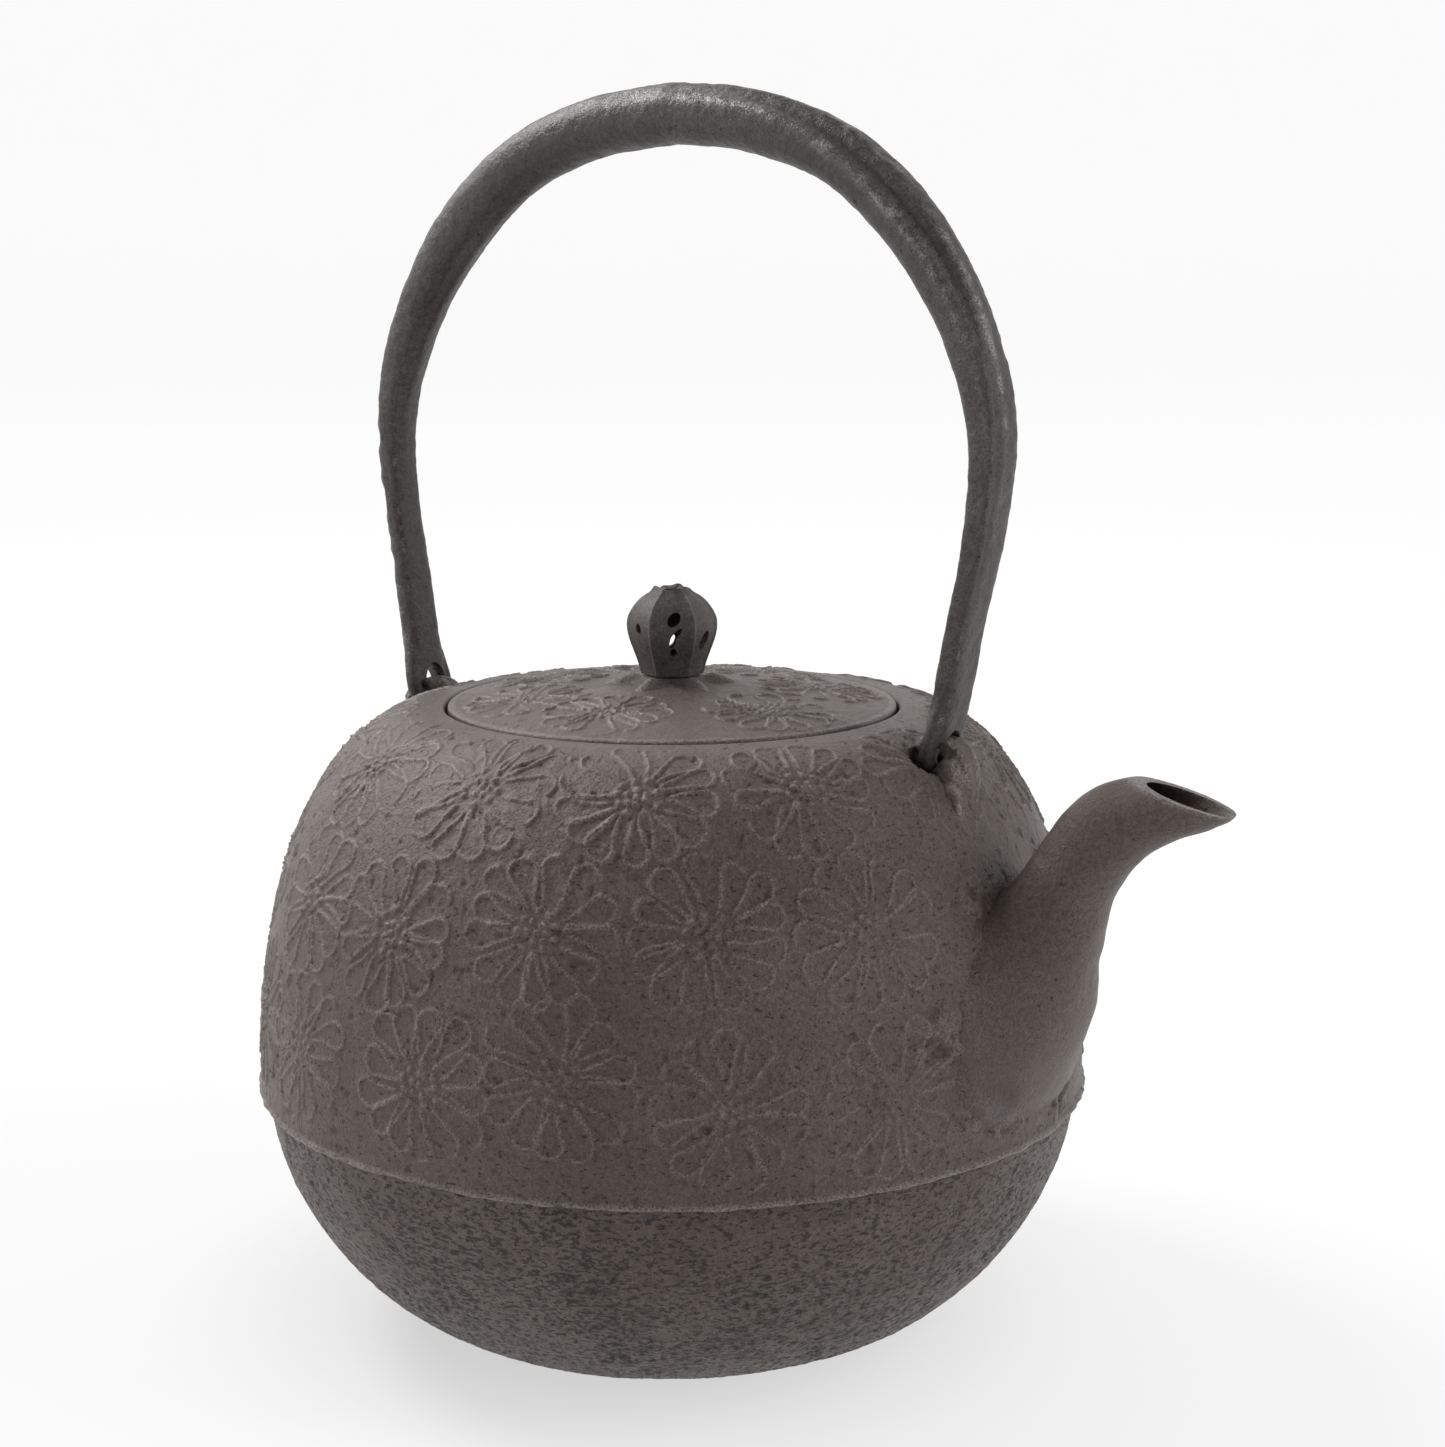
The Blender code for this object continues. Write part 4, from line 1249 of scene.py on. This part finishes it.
def iron(name, dark, light, rub_and_highlight, pit_and_shade, roughness, metallic, painted=0.5, bump=1.0, sheen=0.0):
    """Cast or forged iron: mottled skin, fine grain, dark pits, painted shade, and paler ridges that are
    partly rubbed wear and partly painted highlight.
    """
    made, tree, shader = new_material(name)
    where = node(tree, "ShaderNodeTexCoord").outputs["Object"]
    flow = node(tree, "ShaderNodeAttribute", attribute_name="flow").outputs["Vector"]
    looks = [node(tree, "ShaderNodeAttribute", attribute_name=which) for which in ("wear_and_highlight", "bowl", "painted_shade")]
    wear_and_highlight, bowl, painted_shade = (look.outputs["Fac"] for look in looks)
    patches = spread(tree, cloud(tree, where, 26, 4), 0.36, 0.66)
    grain = cloud(tree, where, 1.0, 4, 0.7)
    fine = cloud(tree, where, 0.4, 2, 0.6)
    specks = spread(tree, cloud(tree, where, 1.5, 3, 0.7), 0.64, 0.72)
    # Pits crowd where the bowl value is high and vanish where it is nought.
    crowded = calculate(tree, "MULTIPLY_ADD", bowl, 0.14, cloud(tree, flow, 1.15, 2, 0.5))
    pits = calculate(tree, "MAXIMUM", specks, spread(tree, crowded, 0.655, 0.68))
    colour = mix(tree, patches, (*dark, 1), (*light, 1))
    mottle = spread(tree, grain, 0.32, 0.7, 0.72, 1.3)
    shade = calculate(tree, "MULTIPLY", mottle, spread(tree, fine, 0.32, 0.68, 0.76, 1.26))
    shade = node(tree, "ShaderNodeCombineColor", {0: shade, 1: shade, 2: shade}).outputs[0]
    colour = mix(tree, 1.0, colour, shade, "MULTIPLY")
    colour = mix(tree, calculate(tree, "MULTIPLY", pits, 0.85), colour, (*pit_and_shade, 1))
    # Painted shade darkens the colour towards the pit colour where the pieces ask for it.
    colour = mix(tree, calculate(tree, "MULTIPLY", painted_shade, 0.55), colour, (*pit_and_shade, 1))
    # Paler where the pieces ask for it: partly rubbed wear, partly painted highlight.
    rub_and_highlight_mask = calculate(tree, "MULTIPLY", wear_and_highlight, spread(tree, fine, 0.4, 0.58, 0.2, 1.0))
    colour = mix(tree, calculate(tree, "MULTIPLY", rub_and_highlight_mask, painted), colour, (*rub_and_highlight, 1))
    tree.links.new(colour, shader.inputs["Base Color"])
    rough_value = spread(tree, grain, 0.3, 0.7, roughness - 0.07, roughness + 0.09)
    rough_value = calculate(tree, "MULTIPLY_ADD", rub_and_highlight_mask, -0.14, rough_value)
    rough_value = calculate(tree, "MULTIPLY_ADD", pits, 0.15, rough_value, clamp=True)
    tree.links.new(rough_value, shader.inputs["Roughness"])
    shader.inputs["Metallic"].default_value = metallic
    shader.inputs["Sheen Weight"].default_value = sheen
    shader.inputs["Sheen Roughness"].default_value = 0.6
    height = calculate(tree, "MULTIPLY_ADD", grain, 0.9, calculate(tree, "MULTIPLY", fine, 0.3))
    height = calculate(tree, "MULTIPLY_ADD", pits, -0.6, height)
    bumped = node(tree, "ShaderNodeBump", {"Strength": bump, "Distance": 0.42 * MM, "Height": height})
    tree.links.new(bumped.outputs["Normal"], shader.inputs["Normal"])
    return made


def steel(name):
    """Drawn stainless steel, faintly brushed."""
    made, tree, shader = new_material(name)
    where = node(tree, "ShaderNodeTexCoord").outputs["Object"]
    streaks = node(tree, "ShaderNodeMapping", {"Vector": where, "Scale": (1.0, 1.0, 9.0)}).outputs["Vector"]
    brushed = cloud(tree, streaks, 1.4, 4, 0.7)
    smudge = cloud(tree, where, 14, 3)
    colour = mix(tree, smudge, (0.50, 0.50, 0.49, 1), (0.62, 0.62, 0.61, 1))
    tree.links.new(colour, shader.inputs["Base Color"])
    tree.links.new(spread(tree, brushed, 0.3, 0.7, 0.24, 0.4), shader.inputs["Roughness"])
    shader.inputs["Metallic"].default_value = 1.0
    bumped = node(tree, "ShaderNodeBump", {"Strength": 0.3, "Distance": 0.04 * MM, "Height": brushed})
    tree.links.new(bumped.outputs["Normal"], shader.inputs["Normal"])
    return made


def paint(piece, made):
    piece.data.materials.clear()
    piece.data.materials.append(made)


# ---------------------------------------------------------------- stage


def make_stage():
    """A glowing floor that curves up into the backdrop, a bright surround, and four soft lamps."""
    floor_end, curve_r = 2.6, 1.2
    profile = [(-2.2, 0.0), (floor_end, 0.0)]
    for angle in np.linspace(0.15, math.pi / 2, 12):
        profile.append((floor_end + curve_r * math.sin(angle), curve_r - curve_r * math.cos(angle)))
    profile.append((3.8, 4.0))
    back = Vector((-math.sin(math.radians(35)), math.cos(math.radians(35)), 0))
    across = Vector((back.y, -back.x, 0))
    points, faces = [], []
    for depth, height in profile:
        for side in (-3.5, 3.5):
            place = back * depth + across * side
            points.append((place.x / MM, place.y / MM, height / MM))
    for row in range(len(profile) - 1):
        faces.append((2 * row, 2 * row + 1, 2 * row + 3, 2 * row + 2))
    floor = mesh_object("studio_floor", points, faces)
    made, tree, shader = new_material("studio_paper")
    where = node(tree, "ShaderNodeTexCoord").outputs["Object"]
    pale, paler = PAPER - 0.005, PAPER + 0.005
    paper = mix(tree, cloud(tree, where, 60, 2), (pale, pale, pale, 1), (paler, paler, paler, 1))
    tree.links.new(paper, shader.inputs["Base Color"])
    shader.inputs["Emission Color"].default_value = (1.0, 1.0, 1.0, 1)
    # The paper glows evenly: more where it rises behind, less by the left lamps, and less round the kettle's
    # foot, as a painted shadow.
    parts = node(tree, "ShaderNodeSeparateXYZ", {0: where}).outputs
    glow = spread(tree, parts["Z"], 0.0, 0.3, FLOOR_GLOW, WALL_GLOW)
    from_lamps = node(tree, "ShaderNodeVectorMath", {0: where, 1: (-0.35, -0.25, 0.0)}, operation="DISTANCE")
    lit = spread(tree, from_lamps.outputs["Value"], 0.1, 0.9, LEFT_GLOW, 0.0)
    glow = calculate(tree, "SUBTRACT", glow, lit)
    from_foot = node(tree, "ShaderNodeVectorMath", {0: where, 1: (-0.012, 0.0, 0.0)}, operation="DISTANCE")
    shade = spread(tree, from_foot.outputs["Value"], 0.03, 0.1, FOOT_SHADE, 0.0)
    tree.links.new(calculate(tree, "SUBTRACT", glow, shade), shader.inputs["Emission Strength"])
    shader.inputs["Roughness"].default_value = 0.9
    paint(floor, made)
    world = bpy.data.worlds.new("studio_air")
    bpy.context.scene.world = world
    world.use_nodes = True
    tree = world.node_tree
    background = tree.nodes["Background"]
    background.inputs["Color"].default_value = (1.0, 1.0, 1.0, 1)
    # The room behind the photographer is dim; the sides and the ceiling are bright.
    toward = node(tree, "ShaderNodeTexCoord").outputs["Generated"]
    dim_side = (math.cos(math.radians(DIM_AZIMUTH)), math.sin(math.radians(DIM_AZIMUTH)), 0.1)
    facing = node(tree, "ShaderNodeVectorMath", {0: toward, 1: dim_side}, operation="DOT_PRODUCT")
    strength = spread(tree, facing.outputs["Value"], 0.25, 0.95, WORLD_STRENGTH, DIM_STRENGTH)
    up = node(tree, "ShaderNodeSeparateXYZ", {0: toward}).outputs["Z"]
    strength = calculate(tree, "MULTIPLY", strength, spread(tree, up, 0.35, 0.95, 1.0, CEILING_PART))
    tree.links.new(strength, background.inputs["Strength"])
    for name, azimuth, elevation, distance, size, power in LAMPS:
        lamp = bpy.data.lights.new(name, "AREA")
        lamp.shape = "RECTANGLE"
        lamp.size, lamp.size_y = size
        lamp.energy = power
        holder = add_object(name, lamp)
        a, e = math.radians(azimuth), math.radians(elevation)
        place = Vector((math.cos(a) * math.cos(e), math.sin(a) * math.cos(e), math.sin(e))) * distance
        target = Vector((0, 0, 0.1))
        holder.location = place + target
        holder.rotation_euler = (-place).to_track_quat("-Z", "Y").to_euler()


def make_camera():
    """The camera stands a little above the lid, 35 degrees round from the side view towards the spout."""
    around, swing, dip = math.radians(35), 0.01982, 0.17779
    distance, lid_height, rise = 0.4869, 0.120, 0.0831
    turn = around - swing
    ahead = Vector((-math.sin(turn) * math.cos(dip), math.cos(turn) * math.cos(dip), -math.sin(dip)))
    right = Vector((math.cos(turn), math.sin(turn), 0))
    up = right.cross(ahead)
    lens = bpy.data.cameras.new("camera")
    lens.lens = 63.86
    lens.sensor_width = 36.0
    lens.clip_start = 0.02
    lens.clip_end = 50.0
    camera = add_object("camera", lens)
    place = Vector((distance * math.sin(around), -distance * math.cos(around), lid_height + rise))
    matrix = Matrix((right, up, -ahead)).transposed().to_4x4()
    camera.matrix_world = Matrix.Translation(place) @ matrix
    bpy.context.scene.camera = camera
    bpy.context.scene.view_settings.view_transform = "Standard"


# ---------------------------------------------------------------- put together


def main():
    body_iron = iron(
        "body_iron",
        dark=(0.068, 0.047, 0.037),
        light=(0.086, 0.065, 0.054),
        rub_and_highlight=(0.25, 0.225, 0.205),
        pit_and_shade=(0.012, 0.009, 0.008),
        roughness=0.47,
        metallic=0.15,
        painted=0.85,
        sheen=0.04,
    )
    handle_iron = iron(
        "handle_iron",
        dark=(0.043, 0.036, 0.033),
        light=(0.060, 0.053, 0.050),
        rub_and_highlight=(0.26, 0.25, 0.24),
        pit_and_shade=(0.013, 0.011, 0.010),
        roughness=0.46,
        metallic=0.25,
        painted=0.85,
        bump=0.7,
    )
    knob_iron = iron(
        "knob_iron",
        dark=(0.060, 0.050, 0.044),
        light=(0.080, 0.068, 0.062),
        rub_and_highlight=(0.15, 0.14, 0.135),
        pit_and_shade=(0.014, 0.012, 0.011),
        roughness=0.5,
        metallic=0.2,
        bump=0.5,
    )
    stainless = steel("stainless_steel")

    rim, wall, bottom, foot = make_basket()
    pieces = (
        (make_belly(), "kettle", "pot_body", "iron_body", body_iron),
        (make_spout(), "kettle", "spout", "iron_body", body_iron),
        (make_lug("lug_front", 1), "kettle", "front_lug", "iron_body", body_iron),
        (make_lug("lug_rear", -1), "kettle", "rear_lug", "iron_body", body_iron),
        (make_handle(), "handle", "handle", "iron_handle", handle_iron),
        (make_lid(), "lid", "lid", "iron_body", body_iron),
        (make_seat(), "lid", "knob_seat", "iron_body", body_iron),
        (make_knob(), "knob", "knob", "iron_knob", knob_iron),
        (rim, "basket", "basket_rim", "stainless", stainless),
        (wall, "basket", "basket_wall", "stainless", stainless),
        (bottom, "basket", "basket_bottom", "stainless", stainless),
        (foot, "basket", "basket_foot_ring", "stainless", stainless),
    )
    for piece, body, stands_for, slot, made in pieces:
        paint(piece, made)
        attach(piece, body)
        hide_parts(stands_for)
    for name in ("knob_rivet", "rivet_washer"):
        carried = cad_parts[name]
        paint(carried, knob_iron)
    make_stage()
    make_camera()


main()
